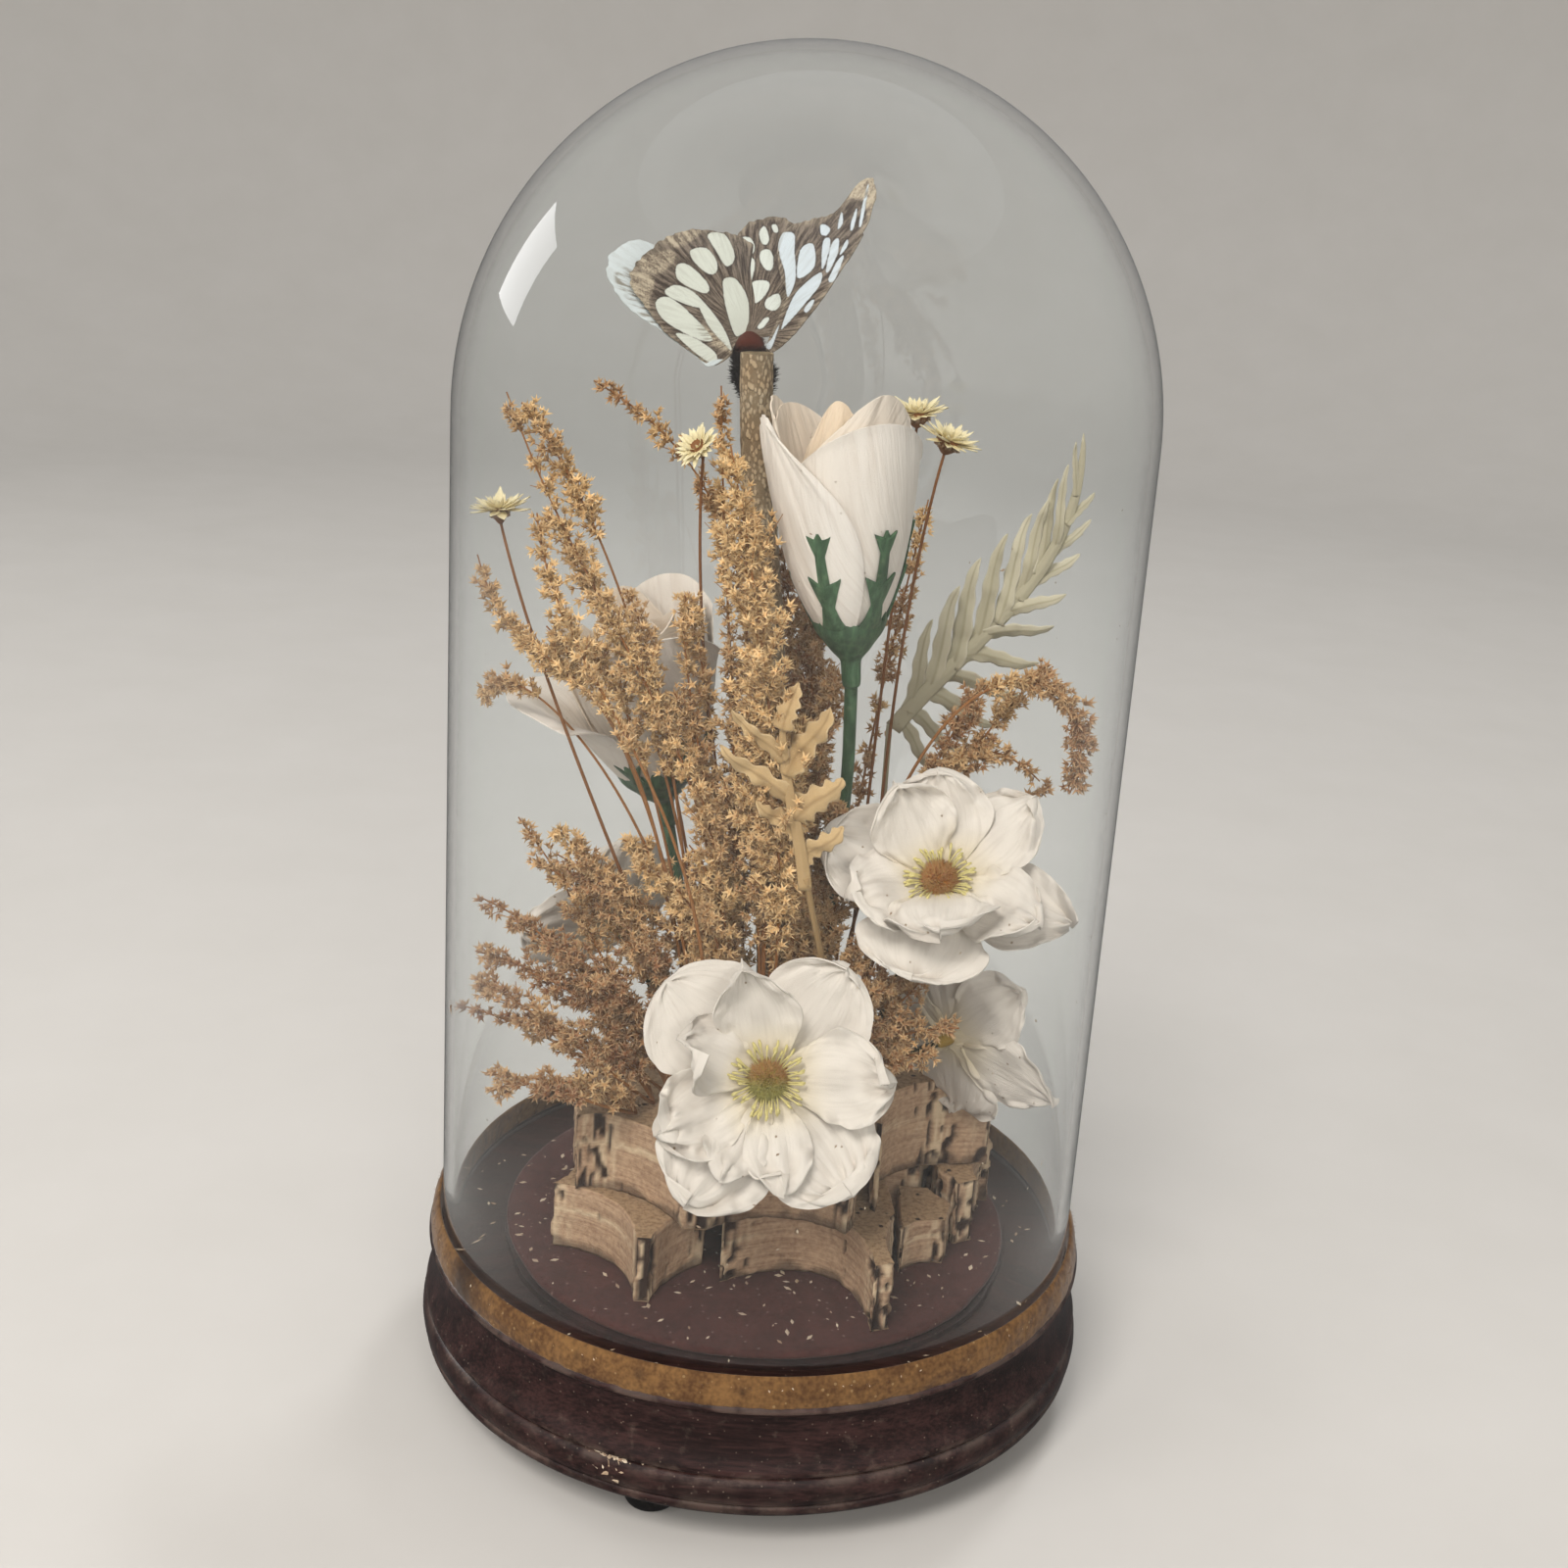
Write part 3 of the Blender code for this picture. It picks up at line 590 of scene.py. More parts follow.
def inside(points: Array, corners: Array) -> Array:
    """Distance of points from a polygon's edge, positive inside it.

    The distance is the least one to any side. A point is inside where a level line from it
    crosses the sides an odd number of times.

    Args:
        points: places in the polygon's plane.
        corners: its corners, in order.

    Returns:
        A distance for each point.
    """
    start, side = corners[None], (np.roll(corners, -1, axis=0) - corners)[None]
    away = points[:, None] - start
    share = np.clip(np.sum(away * side, -1) / np.sum(side * side, -1), 0, 1)
    least = np.min(np.linalg.norm(away - share[..., None] * side, axis=-1), axis=1)
    above = points[:, None, 1] < corners[None, :, 1]
    crossed = above != np.roll(above, -1, axis=1)
    level = away[..., 1] / np.where(side[..., 1] == 0, 1e-9, side[..., 1])
    crossed &= away[..., 0] < level * side[..., 0]
    return np.where(np.sum(crossed, axis=1) % 2 == 1, least, -least)


def facing(direction: Point | Array) -> Array:
    """Axes whose Z runs along a direction and whose X points to the display's right."""
    z = unit(np.array(direction, float))
    x = np.array([1.0, 0.0, 0.0])
    x = unit(x - z * z.dot(x))
    return np.array([x, np.cross(z, x), z])


def spun(directions: Array, spin: Array) -> Array:
    """Axes for many small parts.

    Z runs along each direction. X is any level vector square to it, turned by spin about Z.

    Args:
        directions: one for each part.
        spin: the turn of each, in radians.

    Returns:
        Three axes, as rows, for each part.
    """
    z = unit(directions)
    other = np.where(np.abs(z[:, 2:]) > 0.9, [[1.0, 0.0, 0.0]], [[0.0, 0.0, 1.0]])
    x = unit(np.cross(other, z))
    y = np.cross(z, x)
    cos, sin = np.cos(spin)[:, None], np.sin(spin)[:, None]
    return np.stack([x * cos + y * sin, y * cos - x * sin, z], 1)


def quads(rows: int, columns: int, closed: bool = False) -> Array:
    """Corner indices of a grid's faces, where point (i, j) has the index i * columns + j.

    Args:
        rows: points down the grid.
        columns: points across it.
        closed: whether the last column joins the first.

    Returns:
        Four corners a face.
    """
    i, j = np.meshgrid(np.arange(rows - 1), np.arange(columns if closed else columns - 1),
                       indexing="ij")
    k = (j + 1) % columns
    i, below = i * columns, (i + 1) * columns
    return together(i + j, i + k, below + k, below + j).reshape(-1, 4)


def copied(faces: list[Array], count: int, step: int) -> list[Array]:
    """Faces again for each copy of what they belong to, whose points start a step apart."""
    shift = (np.arange(count) * step)[:, None, None]
    return [(f[None] + shift).reshape(-1, f.shape[1]) for f in faces]


@dataclass
class Shape:
    """Points in millimetres, faces by their number of corners, and what the points carry."""

    points: Array
    faces: list[Array]
    tone: Array
    wrap: Array

    @classmethod
    def of(cls, points: Array, faces: list[Array], tone: Array | Point = (0, 0, 0),
           wrap: Array | None = None) -> "Shape":
        """Makes a shape whose tone may be one value for all its points."""
        return cls(points, faces, np.broadcast_to(np.asarray(tone, float), points.shape).copy(),
                   np.zeros_like(points) if wrap is None else wrap)

    @classmethod
    def joined(cls, shapes: list["Shape"]) -> "Shape":
        """Puts shapes together in one."""
        starts = np.cumsum([0] + [len(s.points) for s in shapes])
        faces = [f + start for s, start in zip(shapes, starts) for f in s.faces]
        return cls(np.vstack([s.points for s in shapes]), faces,
                   np.vstack([s.tone for s in shapes]), np.vstack([s.wrap for s in shapes]))

    def outward(self) -> "Shape":
        """Turns the faces of a closed shape so that the volume they hold is positive.

        The volume is the sum over each face's fan of triangles of a . (b x c) / 6.
        """
        volume = 0.0
        for f in self.faces:
            a = self.points[f[:, :1]]
            b, c = self.points[f[:, 1:-1]], self.points[f[:, 2:]]
            volume += float(np.sum(a * np.cross(b, c)))
        if volume < 0:
            self.faces = [f[:, ::-1] for f in self.faces]
        return self

    def toned(self, tone: Point) -> "Shape":
        """Gives all its points one tone."""
        self.tone[:] = tone
        return self

    def placed(self, origin: Point | Array, axes: Array) -> "Shape":
        """Moves the shape to an origin, with its X, Y and Z along the rows of axes."""
        self.points = np.asarray(origin, float) + self.points @ axes
        return self

    def repeated(self, origins: Array, axes: Array, sizes: Array, tones: Array) -> "Shape":
        """Copies of this shape.

        Args:
            origins: where each stands.
            axes: its three axes, as rows.
            sizes: its size.
            tones: what is added to its points' tone.

        Returns:
            All the copies as one shape.
        """
        count = len(origins)
        points = np.einsum("pk,nkj->npj", self.points, axes) * sizes[:, None, None]
        return Shape((points + origins[:, None]).reshape(-1, 3),
                     copied(self.faces, count, len(self.points)),
                     (self.tone[None] + tones[:, None]).reshape(-1, 3),
                     np.tile(self.wrap, (count, 1)))

    def mesh(self, name: str, smooth: bool, crease: float) -> bpy.types.Mesh:
        """Writes the shape into a mesh.

        Args:
            name: the mesh's name.
            smooth: whether faces of up to four corners are shaded smooth.
            crease: the angle in degrees past which an edge stays sharp, or 0 for none.

        Returns:
            The mesh.
        """
        made = bpy.data.meshes.new(name)
        corners = np.concatenate([f.ravel() for f in self.faces]).astype(np.int32)
        counts = np.concatenate([np.full(len(f), f.shape[1]) for f in self.faces])
        made.vertices.add(len(self.points))
        made.vertices.foreach_set("co", (self.points * MM).astype(np.float32).ravel())
        made.loops.add(len(corners))
        made.loops.foreach_set("vertex_index", corners)
        made.polygons.add(len(counts))
        starts = np.concatenate([[0], np.cumsum(counts)[:-1]]).astype(np.int32)
        made.polygons.foreach_set("loop_start", starts)
        made.polygons.foreach_set("use_smooth", (counts <= 4) & smooth)
        made.update(calc_edges=True)
        colour = np.hstack([np.clip(self.tone, 0, 1), np.ones((len(self.points), 1))])
        made.attributes.new("tone", "FLOAT_COLOR", "POINT").data.foreach_set(
            "color", colour.astype(np.float32).ravel())
        made.attributes.new("wrap", "FLOAT_VECTOR", "POINT").data.foreach_set(
            "vector", (self.wrap * [MM, MM, 1.0]).astype(np.float32).ravel())
        if crease:
            made.set_sharp_from_angle(angle=math.radians(crease))
        return made


def turned(profile: Array, steps: int, closed: bool = False) -> Shape:
    """A profile swept round Z: x = r cos a, y = r sin a, z = h.

    A first or last row on the axis becomes one pole, closed with a fan. The first tone is
    how sharply the profile turns outwards there.

    Args:
        profile: rows of radius r and height h.
        steps: columns round the axis.
        closed: whether the last row joins the first.

    Returns:
        The turned shape.
    """
    rings = profile[profile[:, 0] > 1e-6]
    count, (j, k) = len(rings), around(steps)
    points = polar(rings[:, :1], j * TAU / steps, rings[:, 1:]).reshape(-1, 3)
    side = unit(np.diff(rings, axis=0, prepend=rings[:1], append=rings[-1:]))
    bend = np.abs(side[:-1, 0] * side[1:, 1] - side[:-1, 1] * side[1:, 0])
    tone = np.zeros_like(points)
    tone[:, 0] = np.repeat(smoothly(bend, 0.1, 0.5), steps)
    if closed:
        return Shape.of(points, [quads(count + 1, steps, True) % (count * steps)],
                        tone).outward()
    last = (count - 1) * steps
    top = together(len(points), k, j)
    foot = together(len(points) + 1, last + j, last + k)
    poles = [[0.0, 0.0, profile[0, 1]], [0.0, 0.0, profile[-1, 1]]]
    return Shape.of(np.vstack([points, poles]), [quads(count, steps, True), top, foot],
                    np.vstack([tone, np.zeros((2, 3))])).outward()


def tubes(paths: Array, radii: Array | float | list[float], sides: int,
          tone: Array | Point = (0, 0, 0)) -> Shape:
    """Round tubes along paths, closed at both ends.

    The ring at a path's point is p + r (cos a * s + sin a * w), where s is square to the
    path and to one fixed axis, and w is square to both.

    Args:
        paths: points, by tube and place along it, or those of one tube.
        radii: the radius at each point.
        sides: corners of a ring.
        tone: one tone, or one for each tube.

    Returns:
        All the tubes as one shape.
    """
    paths = paths.reshape(-1, *paths.shape[-2:])
    count, length = paths.shape[:2]
    radii = np.broadcast_to(radii, (count, length))
    along = unit(np.gradient(paths, axis=1))
    fixed = np.eye(3)[np.argmin(np.abs(paths[:, -1] - paths[:, 0]), axis=1)][:, None]
    across = unit(np.cross(along, fixed))
    up = np.cross(across, along)
    j, k = around(sides)
    angle = j * TAU / sides
    rings = (across[:, :, None] * np.cos(angle)[:, None] + up[:, :, None]
             * np.sin(angle)[:, None]) * radii[:, :, None, None] + paths[:, :, None]
    points = np.concatenate([rings.reshape(count, -1, 3), paths[:, [0, -1]]], 1)
    travel = np.cumsum(np.linalg.norm(np.diff(paths, axis=1, prepend=paths[:, :1]), axis=2), 1)
    wrap = np.zeros_like(points)
    wrap[:, :-2, 0] = (radii[:, :, None] * np.abs(angle - math.pi)).reshape(count, -1)
    wrap[:, :-2, 1] = np.repeat(travel, sides, axis=1)
    pole, last = length * sides, (length - 1) * sides
    fans = np.concatenate([together(pole, k, j), together(pole + 1, last + j, last + k)])
    tones = np.asarray(tone, float)
    tones = np.repeat(tones, pole + 2, axis=0) if tones.ndim == 2 else tones
    return Shape.of(points.reshape(-1, 3),
                    copied([quads(length, sides, True), fans], count, pole + 2), tones,
                    wrap.reshape(-1, 3)).outward()


def walled(middle: Array, normals: Array, faces: Array, rim: Array, thickness: float,
           tone: Array, wrap: Array) -> Shape:
    """Gives thin sheets their two faces and their edge.

    The faces are the middle surface moved by half the thickness along its normals, each way.

    Args:
        middle: points, by sheet.
        normals: the normal at each.
        faces: the grid's faces, the same for every sheet.
        rim: indices round the sheet's edge.
        thickness: in millimetres.
        tone: each point's tone.
        wrap: each point's place on the surface.

    Returns:
        The closed sheets as one shape.
    """
    count, size = middle.shape[:2]
    half = normals * (0.5 * thickness)
    after = np.roll(rim, -1)
    band = together(rim, rim + size, after + size, after)
    points, tone, wrap = (np.concatenate(pair, 1).reshape(-1, 3) for pair in (
        (middle + half, middle - half), (tone, tone), (wrap, wrap)))
    faces = copied([np.concatenate([faces, faces[:, ::-1] + size, band])], count, 2 * size)
    return Shape(points, faces, tone, wrap).outward()


def sheets(grids: Array, thickness: float, tone: Array | Point,
           wrap: Array | None = None) -> Shape:
    """Closed thin sheets from grids of points.

    The normal is the cross product of the grid's two directions.

    Args:
        grids: points by sheet, row and column, or those of one sheet.
        thickness: in millimetres.
        tone: the points' tones, in the same order, or one for all.
        wrap: their places on the surface, or none for rows and columns in millimetres.

    Returns:
        All the sheets as one shape.
    """
    grids = grids.reshape(-1, *grids.shape[-3:])
    count, rows, columns = grids.shape[:3]
    down, across = np.gradient(grids, axis=1), np.gradient(grids, axis=2)
    normals = unit(np.cross(down, across)).reshape(count, -1, 3)
    if wrap is None:
        wrap = together(np.cumsum(np.linalg.norm(across, axis=-1), 2),
                        np.cumsum(np.linalg.norm(down, axis=-1), 1), 0.0)
    index = np.arange(rows * columns).reshape(rows, columns)
    rim = np.concatenate([index[0, :-1], index[:-1, -1], index[-1, :0:-1], index[:0:-1, 0]])
    tone, wrap = (np.broadcast_to(a, grids.shape).reshape(count, -1, 3) for a in (tone, wrap))
    return walled(grids.reshape(count, -1, 3), normals, quads(rows, columns), rim, thickness,
                  tone, wrap)


def spike(width: float = 0.2) -> Shape:
    """A hair or bract of length 1 along Z: a sliver with three edges."""
    points = np.array([[width, 0, 0], [-0.5 * width, 0.87 * width, 0],
                       [-0.5 * width, -0.87 * width, 0], [0, 0, 1.0]])
    faces = np.array([[0, 2, 1], [0, 1, 3], [1, 2, 3], [2, 0, 3]])
    return Shape.of(points, [faces], together(0, 0, points[:, 2]))


def star(bracts: int, spread: float, width: float) -> Shape:
    """A floret: pointed bracts that open from one point round Z, by the spread in degrees."""
    turn = np.arange(bracts) * TAU / bracts
    lean = math.radians(spread)
    ways = polar(math.sin(lean), turn, math.cos(lean))
    return spike(width).repeated(ways * 0.1, spun(ways, turn), np.ones(bracts),
                                 np.zeros((bracts, 3)))


def leaf(width: float, curl: float, fold: float) -> Shape:
    """A thin pointed leaf of length 1 along Z.

    Its half width is width * sin(pi v^0.75), its curl along Y is curl * v^2, and its sides
    stand back by fold * |u| * width.
    """
    v, u = lattice(7, 5, 0.02)
    half = width * np.sin(math.pi * v ** 0.75) + 0.01
    grid = together(u * half, curl * v ** 2 + fold * np.abs(u) * width, v)
    return sheets(grid, 0.02, together(0, 0, smoothly(v, 0.3, 1.0)))


def put(name: str, data: bpy.types.ID) -> bpy.types.Object:
    """Puts an object with that data into the scene."""
    piece = bpy.data.objects.new(name, data)
    bpy.context.scene.collection.objects.link(piece)
    return piece


def show(name: str, shape: Shape, finish: bpy.types.Material,
         nodes: tuple[str, ...] = (), smooth: bool = True, crease: float = 0.0
         ) -> bpy.types.Object:
    """Puts a finished shape into the display as one piece.

    Args:
        name: the piece's name.
        shape: what it is.
        finish: its material.
        nodes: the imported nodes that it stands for.
        smooth: whether it is shaded smooth.
        crease: the angle past which its edges stay sharp.

    Returns:
        The piece.
    """
    mesh = shape.mesh(name, smooth, crease)
    mesh.materials.append(finish)
    piece = put(name, mesh)
    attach(piece, "root")
    if nodes:
        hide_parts(*nodes)
    triangles = sum(len(f) * (f.shape[1] - 2) for f in shape.faces)
    LOG.info("%s: %d triangles for %s", name, triangles, ", ".join(nodes) or "no node")
    return piece


# ---------------------------------------------------------------- base, velvet and glass

@dataclass
class TurnedBase:
    """The turned wooden base on its three feet."""

    plateau: Outline = ((0.0, 42.0), (60.0, 42.0), (68.5, 42.0), (68.5, 39.5), (85.3, 39.5),
                        (85.35, 41.4))
    rim: Outline = (
        (87.6, 41.2), (88.6, 40.3), (88.6, 39.3), (86.4, 38.3), (85.8, 36.5), (86.1, 33.0),
        (86.9, 29.0), (88.2, 25.5), (89.4, 23.4), (89.4, 22.3), (87.9, 21.6), (89.5, 20.6),
        (90.3, 17.6), (90.0, 15.0), (88.9, 14.3), (89.6, 13.6), (89.4, 12.0), (88.3, 11.0))
    underside: Outline = ((80.0, 11.0), (0.0, 11.0))
    stub: Outline = ((0, 10.7), (6.2, 10.7), (7.3, 9.1), (7.6, 5.9), (7.1, 2.2), (6.0, 0.0),
                     (0, 0.0))
    foot_angles: tuple[float, ...] = (253.0, 13.0, 133.0)
    foot_circle: float = 73.0
    unevenness: float = 0.0006
    worn_and_lit_edge_from: float = 86.5
    steps: int = 240
    foot_steps: int = 40

    def wood(self) -> Shape:
        """Plateau, glass channel, cove, groove and bead, with a faint unevenness of radius."""
        shape = turned(rounded(self.plateau + self.rim + self.underside, 1), self.steps)
        uneven = self.unevenness * hills(shape.points, 14.0, 3)[:, None]
        shape.points[:, :2] *= 1.0 + uneven - self.unevenness
        # Only the outer edges take the pale paint, partly wear and partly painted highlight.
        shape.tone[:, 0] *= np.hypot(*shape.points[:, :2].T) > self.worn_and_lit_edge_from
        return shape

    def foot(self, degrees: float) -> Shape:
        """One foot, a short turned stub under the base."""
        centre = polar(self.foot_circle, math.radians(degrees), 0.0)
        return turned(rounded(self.stub, 2), self.foot_steps).placed(centre, np.eye(3))

    def build(self) -> None:
        """Makes the base and its feet."""
        show("base_wood", self.wood(), StainedWood().mixed(), ("wood_base",), crease=50)
        plastic = FootPlastic().mixed()
        for number, degrees in enumerate(self.foot_angles, start=1):
            show(f"base_foot_{number}", self.foot(degrees), plastic,
                 (f"foot_{number}",), crease=50)


@dataclass
class VelvetTrim:
    """The velvet ring over the joint, worn and frayed below, and the disc inside."""

    section: Outline = ((85.36, 41.7), (85.36, 47.0), (85.6, 48.2), (86.2, 48.5), (87.0, 47.3),
                        (87.6, 45.4), (88.0, 43.2), (88.1, 41.4), (87.6, 40.9))
    pad: Outline = ((0, 44.0), (30, 44.0), (55, 44.0), (67.0, 44.0), (67.9, 43.5), (68.0, 42.6),
                    (67.6, 42.3), (0, 42.3))
    bare_angle: float = 214.0
    bare_width: float = 5.0
    fibres: int = 4200
    steps: int = 420
    pad_steps: int = 260
    seed: int = 5

    def ring(self) -> Shape:
        """A soft ring whose outer side swells and whose lower edge is ragged."""
        shape = turned(rounded(self.section, 2), self.steps, closed=True)
        points = shape.points
        outer = smoothly(np.hypot(*points[:, :2].T), 85.8, 86.6)
        lump = hills(points, 4.0, self.seed) * 0.22 + hills(points, 1.1, self.seed + 1) * 0.14
        points[:, :2] *= 1.0 + (lump * outer / 87.0)[:, None]
        ragged = smoothly(points[:, 2], 43.6, 42.0) * outer
        points[:, 2] -= ragged * (0.35 + 0.35 * hills(points, 1.3, self.seed + 2))
        angle = np.degrees(np.arctan2(points[:, 1], points[:, 0])) % 360.0
        off = np.abs(angle - self.bare_angle) / self.bare_width
        patch = np.exp(-off ** 2) + 0.6 * smoothly(hills(points, 5.0, self.seed + 3), 0.72, 0.9)
        shape.tone = together(np.clip(patch, 0, 1) * 0.85, 0, 0)
        return shape

    def fuzz(self) -> Shape:
        """Loose fibres: slivers that stand off the ring, most of them at its lower edge."""
        rng, count = np.random.default_rng(self.seed), self.fibres
        angle = rng.uniform(0, TAU, count)
        low = rng.random(count) < 0.6
        height = np.where(low, rng.uniform(41.4, 42.6, count), rng.uniform(42.5, 47.8, count))
        radius = np.where(height > 46.5, 86.6 - (height - 46.5) * 0.4, 87.45)
        ways = polar(1, angle, np.where(low, -0.9, 0.1)) + rng.normal(0, 0.55, (count, 3))
        size = rng.uniform(0.35, 0.95, count)
        return spike(0.06).repeated(polar(radius, angle, height), spun(ways, angle), size,
                                    together(rng.random(count) * 0.25, 0, 0))

    def disc(self) -> Shape:
        """The disc the arrangement stands on, its edge a little ragged and its nap uneven."""
        shape = turned(rounded(self.pad, 2), self.pad_steps).toned((0, 0, 0))
        shape.points[:, :2] *= 1.0 - 0.002 * smoothly(hills(shape.points, 3.0, 9), 0, 1)[:, None]
        return shape

    def build(self) -> None:
        """Makes the ring with its fibres, and the disc."""
        tan = Velvet("tan velvet", "#4b3320", "#785936", "#2b201a", "#a88f68", 0.35).mixed()
        plum = Velvet("plum velvet", "#3a211e", "#50302c", "#2a1f22", "#9a877a", 0.3).mixed()
        ring = show("ring_velvet", Shape.joined([self.ring(), self.fuzz()]), tan,
                    ("velvet_band",))
        show("disc_velvet", self.disc(), plum, ("velvet_disc",), crease=50)


@dataclass
class GlassDome:
    """The blown dome: a straight wall, a round crown and a fire-polished foot."""

    radius: float = 85.0
    wall: float = 2.5
    foot: float = 39.8
    shoulder: float = 257.8
    rise: float = 87.9
    steps: int = 200

    def crown(self, radius: float, rise: float) -> Array:
        """The quarter ellipse r cos a, shoulder + rise sin a, from the shoulder to the pole."""
        angle = np.linspace(0, math.pi / 2, 40)
        curve = together(radius * np.cos(angle), self.shoulder + rise * np.sin(angle))
        curve[-1, 0] = 0.0
        return curve

    def skin(self) -> Shape:
        """Outer skin, rounded foot and inner skin in one closed shape."""
        inner, half = self.radius - self.wall, self.wall / 2
        levels = np.linspace(self.foot + half, self.shoulder, 12)[1:-1]
        turn = np.linspace(0, math.pi, 9)
        foot = together(self.radius - half + half * np.cos(turn),
                        self.foot + half * (1 - np.sin(turn)))
        return turned(np.vstack([
            self.crown(self.radius, self.rise)[::-1], together(self.radius, levels[::-1]), foot,
            together(inner, levels), self.crown(inner, self.rise - self.wall)]), self.steps)

    def build(self) -> None:
        """Makes the dome. It casts no shadow, as clear glass hardly does."""
        piece = show("dome_glass", self.skin(), ClearGlass().mixed(), ("glass_dome",))
        piece.visible_shadow = False


# ---------------------------------------------------------------- cork and twig

@dataclass
class CorkSlab:
    """One offcut between two heights. A corner is (x, y, depth of the arc to the next)."""

    node: str
    bottom: float
    top: float
    corners: tuple[Point, ...]
    seed: int
    foot_dark: float = 0.0
    layer: float = 0.7

    def outline(self, spacing: float = 0.75) -> tuple[Array, Array]:
        """The outline as a fine line.

        A side runs straight from corner to corner, or bulges inward by 4 d t (1 - t).

        Args:
            spacing: millimetres between points.

        Returns:
            The points, and for each how near it is to the end of an arc, from 0 to 1.
        """
        parts, horns = [], []
        for (x0, y0, depth), (x1, y1, _) in zip(self.corners, self.corners[1:] + self.corners[:1]):
            start, side = np.array([x0, y0]), np.array([x1 - x0, y1 - y0])
            length = float(np.hypot(*side))
            count = max(3, round(length / spacing))
            t = np.arange(count) / count
            inward = np.array([-side[1], side[0]]) / length
            bulge = (4.0 * depth * t * (1.0 - t))[:, None]
            parts.append(start + side * t[:, None] + inward * bulge)
            near = np.exp(-(np.minimum(t, 1 - t) * length / 4.0) ** 2)
            horns.append(near if length > 7 else np.ones_like(t))
        return np.vstack(parts), np.concatenate(horns)

    def build(self) -> Shape:
        """Walls with layers and cracks, between two flat cut faces.

        A wall point is the outline moved along its normal by layer relief, less the depth
        of a crack. Cracks are where noise that is stretched upwards passes a limit.

        Returns:
            The closed shape.
        """
        line, horn = self.outline()
        ahead = np.roll(line, -1, axis=0) - np.roll(line, 1, axis=0)
        normal = unit(together(ahead[:, 1], -ahead[:, 0]))
        rows, count = max(12, round((self.top - self.bottom) / self.layer)), len(line)
        travel = np.tile(np.cumsum(np.hypot(*np.diff(line, axis=0, prepend=line[-1:]).T)), rows)
        horns = np.tile(horn, rows)
        level = np.repeat(np.linspace(0, 1, rows), count)
        height = self.bottom + (self.top - self.bottom) * level
        flat = together(travel, height, self.seed * 9.7)
        bent = flat + np.outer(hills(flat, 4.0, self.seed + 6), [0.7, 0.0, 0.0])
        tall = hills(bent, [0.85, 8.0, 1.0], self.seed)
        wide = hills(bent, [1.7, 3.5, 1.0], self.seed + 1)
        limit = 0.7 - 0.62 * horns
        crack = smoothly(np.maximum(tall, wide * 0.85), limit, limit + 0.25)
        layer = hills(flat, [9.0, 0.75, 1.0], self.seed + 2)
        rough = hills(flat, [2.0, 1.5, 1.0], self.seed + 3)
        chips = hills(flat, [1.5, 3.0, 1.0], self.seed + 4)
        rim = np.maximum(smoothly(level, 0.95, 1.0), smoothly(level, 0.05, 0.0))
        depth = 0.13 * layer + 0.14 * rough - 0.8 * crack
        depth -= rim * (0.25 + 0.45 * smoothly(chips, 0.1, 0.7))
        wall = np.tile(line, (rows, 1)) + np.tile(normal, (rows, 1)) * depth[:, None]
        pale = np.exp(-((level - 0.62 - 0.05 * wide) / 0.035) ** 2) * 0.65
        pale = pale * smoothly(hills(flat, [30.0, 40.0, 1.0], self.seed + 5), -0.2, 0.2)
        strip = 0.6 * horns * smoothly(-tall, 0.05, 0.35)
        low = 0.16 + 0.1 * hills(flat, [2.5, 40.0, 1.0], self.seed + 7)
        # Walls are darker towards their foot, most at the horns.
        foot_darkening = np.maximum(horns * self.foot_dark, 0.6) * smoothly(level, low, low - 0.12)
        points = [np.column_stack([wall, height])]
        for row, z in ((rows - 1, self.top + 0.02), (0, self.bottom - 0.02)):
            sunk = np.maximum(-depth[row * count:(row + 1) * count], 0.0) * (1.0 - horn)
            points.append(together(*(line - normal * (0.2 + sunk)[:, None]).T, z))
        (j, k), top = around(count), (rows - 1) * count
        lid, sole = rows * count, (rows + 1) * count
        faces = [quads(rows, count, True), together(top + j, top + k, lid + k, lid + j),
                 together(k, j, sole + j, sole + k), (lid + j)[None], (sole + j)[::-1][None]]
        cut = (2 * count, 1)
        tone = [together(crack, np.maximum(pale, strip), rim * 0.4), np.tile([0.0, 0.0, 1.0], cut)]
        wrap = [together(travel, height, foot_darkening), np.tile([0.0, 0.0, 0.0], cut)]
        return Shape(*(np.vstack(points), faces, np.vstack(tone), np.vstack(wrap))).outward()


